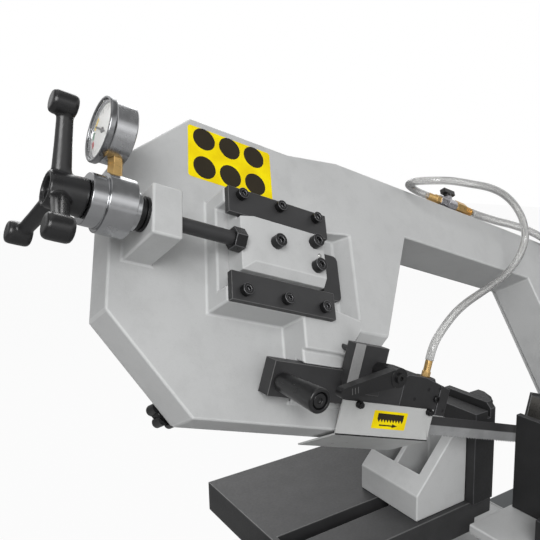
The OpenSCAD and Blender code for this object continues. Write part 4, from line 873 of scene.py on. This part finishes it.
# Floor, light and air
def whiteToCamera(tree, surface, share):
    # camera and see-through rays find white in place of share of the surface
    path = tree.nodes.new("ShaderNodeLightPath")
    either = tree.nodes.new("ShaderNodeMath")
    either.operation = "MAXIMUM"
    part = tree.nodes.new("ShaderNodeMath")
    part.operation = "MULTIPLY"
    part.inputs[1].default_value = share
    air = "ShaderNodeBackground"
    white = tree.nodes.new(air if surface.node.bl_idname == air else "ShaderNodeEmission")
    white.inputs["Color"].default_value = (1, 1, 1, 1)
    white.inputs["Strength"].default_value = 1.0
    mixed = tree.nodes.new("ShaderNodeMixShader")
    tree.links.new(path.outputs["Is Camera Ray"], either.inputs[0])
    tree.links.new(path.outputs["Is Transmission Ray"], either.inputs[1])
    tree.links.new(either.outputs[0], part.inputs[0])
    tree.links.new(part.outputs[0], mixed.inputs["Fac"])
    tree.links.new(surface, mixed.inputs[1])
    tree.links.new(white.outputs[0], mixed.inputs[2])
    return mixed.outputs[0]


floorPlan = {"half": 14.0, "pale": (0.4, 0.44), "white": 0.95}
lampAim = (-0.2, 0.0, 1.0)
lampPlan = {  # place, size in metres, watts
    "keyLamp": ((-2.4, -2.9, 3.2), 2.2, 116),
    "fillLamp": ((0.6, -3.8, 1.6), 3.0, 14),
    "rimLamp": ((0.6, 3.0, 3.4), 2.4, 45),
}
airPlan = {
    "plain": 0.42,
    # grey from straight down to straight up, as shiny metal finds it
    "bands": (
        (0.0, 0.55), (0.3, 0.3), (0.44, 0.12), (0.52, 0.16), (0.6, 0.75),
        (0.74, 0.95), (0.8, 0.3), (0.9, 0.24), (1.0, 0.8),
    ),
}


def grey(g):
    return (g, g, g, 1)


def layFloor(f):
    half = f["half"]
    mesh = bpy.data.meshes.new("studioFloor")
    corners = [(-half, -half, 0), (half, -half, 0), (half, half, 0), (-half, half, 0)]
    mesh.from_pydata(corners, [], [(0, 1, 2, 3)])
    made, tree, shader = startFinish("studioFloor", Roughness=0.9)
    low, high = f["pale"]
    pale = shades(tree, grain(tree, 0.6, 2), (0.3, grey(low)), (0.7, grey(high)))
    tree.links.new(pale, shader.inputs["Base Color"])
    out = [n for n in tree.nodes if n.bl_idname == "ShaderNodeOutputMaterial"][0]
    tree.links.new(whiteToCamera(tree, shader.outputs[0], f["white"]), out.inputs["Surface"])
    mesh.materials.append(made)
    link("studioFloor", mesh)


def hangLamps(lamps, aim):
    for name, (place, size, watts) in lamps.items():
        data = bpy.data.lights.new(name, "AREA")
        data.size = size
        data.energy = watts
        lamp = link(name, data)
        lamp.location = place
        lamp.rotation_euler = (Vector(aim) - Vector(place)).to_track_quat("-Z", "Y").to_euler()


def fillAir(a):
    world = bpy.data.worlds.new("studioAir")
    world.use_nodes = True
    tree = world.node_tree
    tree.nodes.clear()
    where = tree.nodes.new("ShaderNodeTexCoord")
    split = tree.nodes.new("ShaderNodeSeparateXYZ")
    tree.links.new(where.outputs["Generated"], split.inputs[0])
    height = spread(tree, split.outputs["Z"], 0.0, 1.0, -1.0, 1.0)
    bands = shades(tree, height, *[(at, grey(g)) for at, g in a["bands"]])
    path = tree.nodes.new("ShaderNodeLightPath")
    air = tree.nodes.new("ShaderNodeBackground")
    seen = blendColours(tree, path.outputs["Is Glossy Ray"], grey(a["plain"]), bands)
    tree.links.new(seen, air.inputs["Color"])
    out = tree.nodes.new("ShaderNodeOutputWorld")
    tree.links.new(whiteToCamera(tree, air.outputs[0], 1.0), out.inputs["Surface"])
    bpy.context.scene.world = world


layFloor(floorPlan)
hangLamps(lampPlan, lampAim)
fillAir(airPlan)
bpy.context.scene.view_settings.view_transform = "Standard"
print("studio lit")
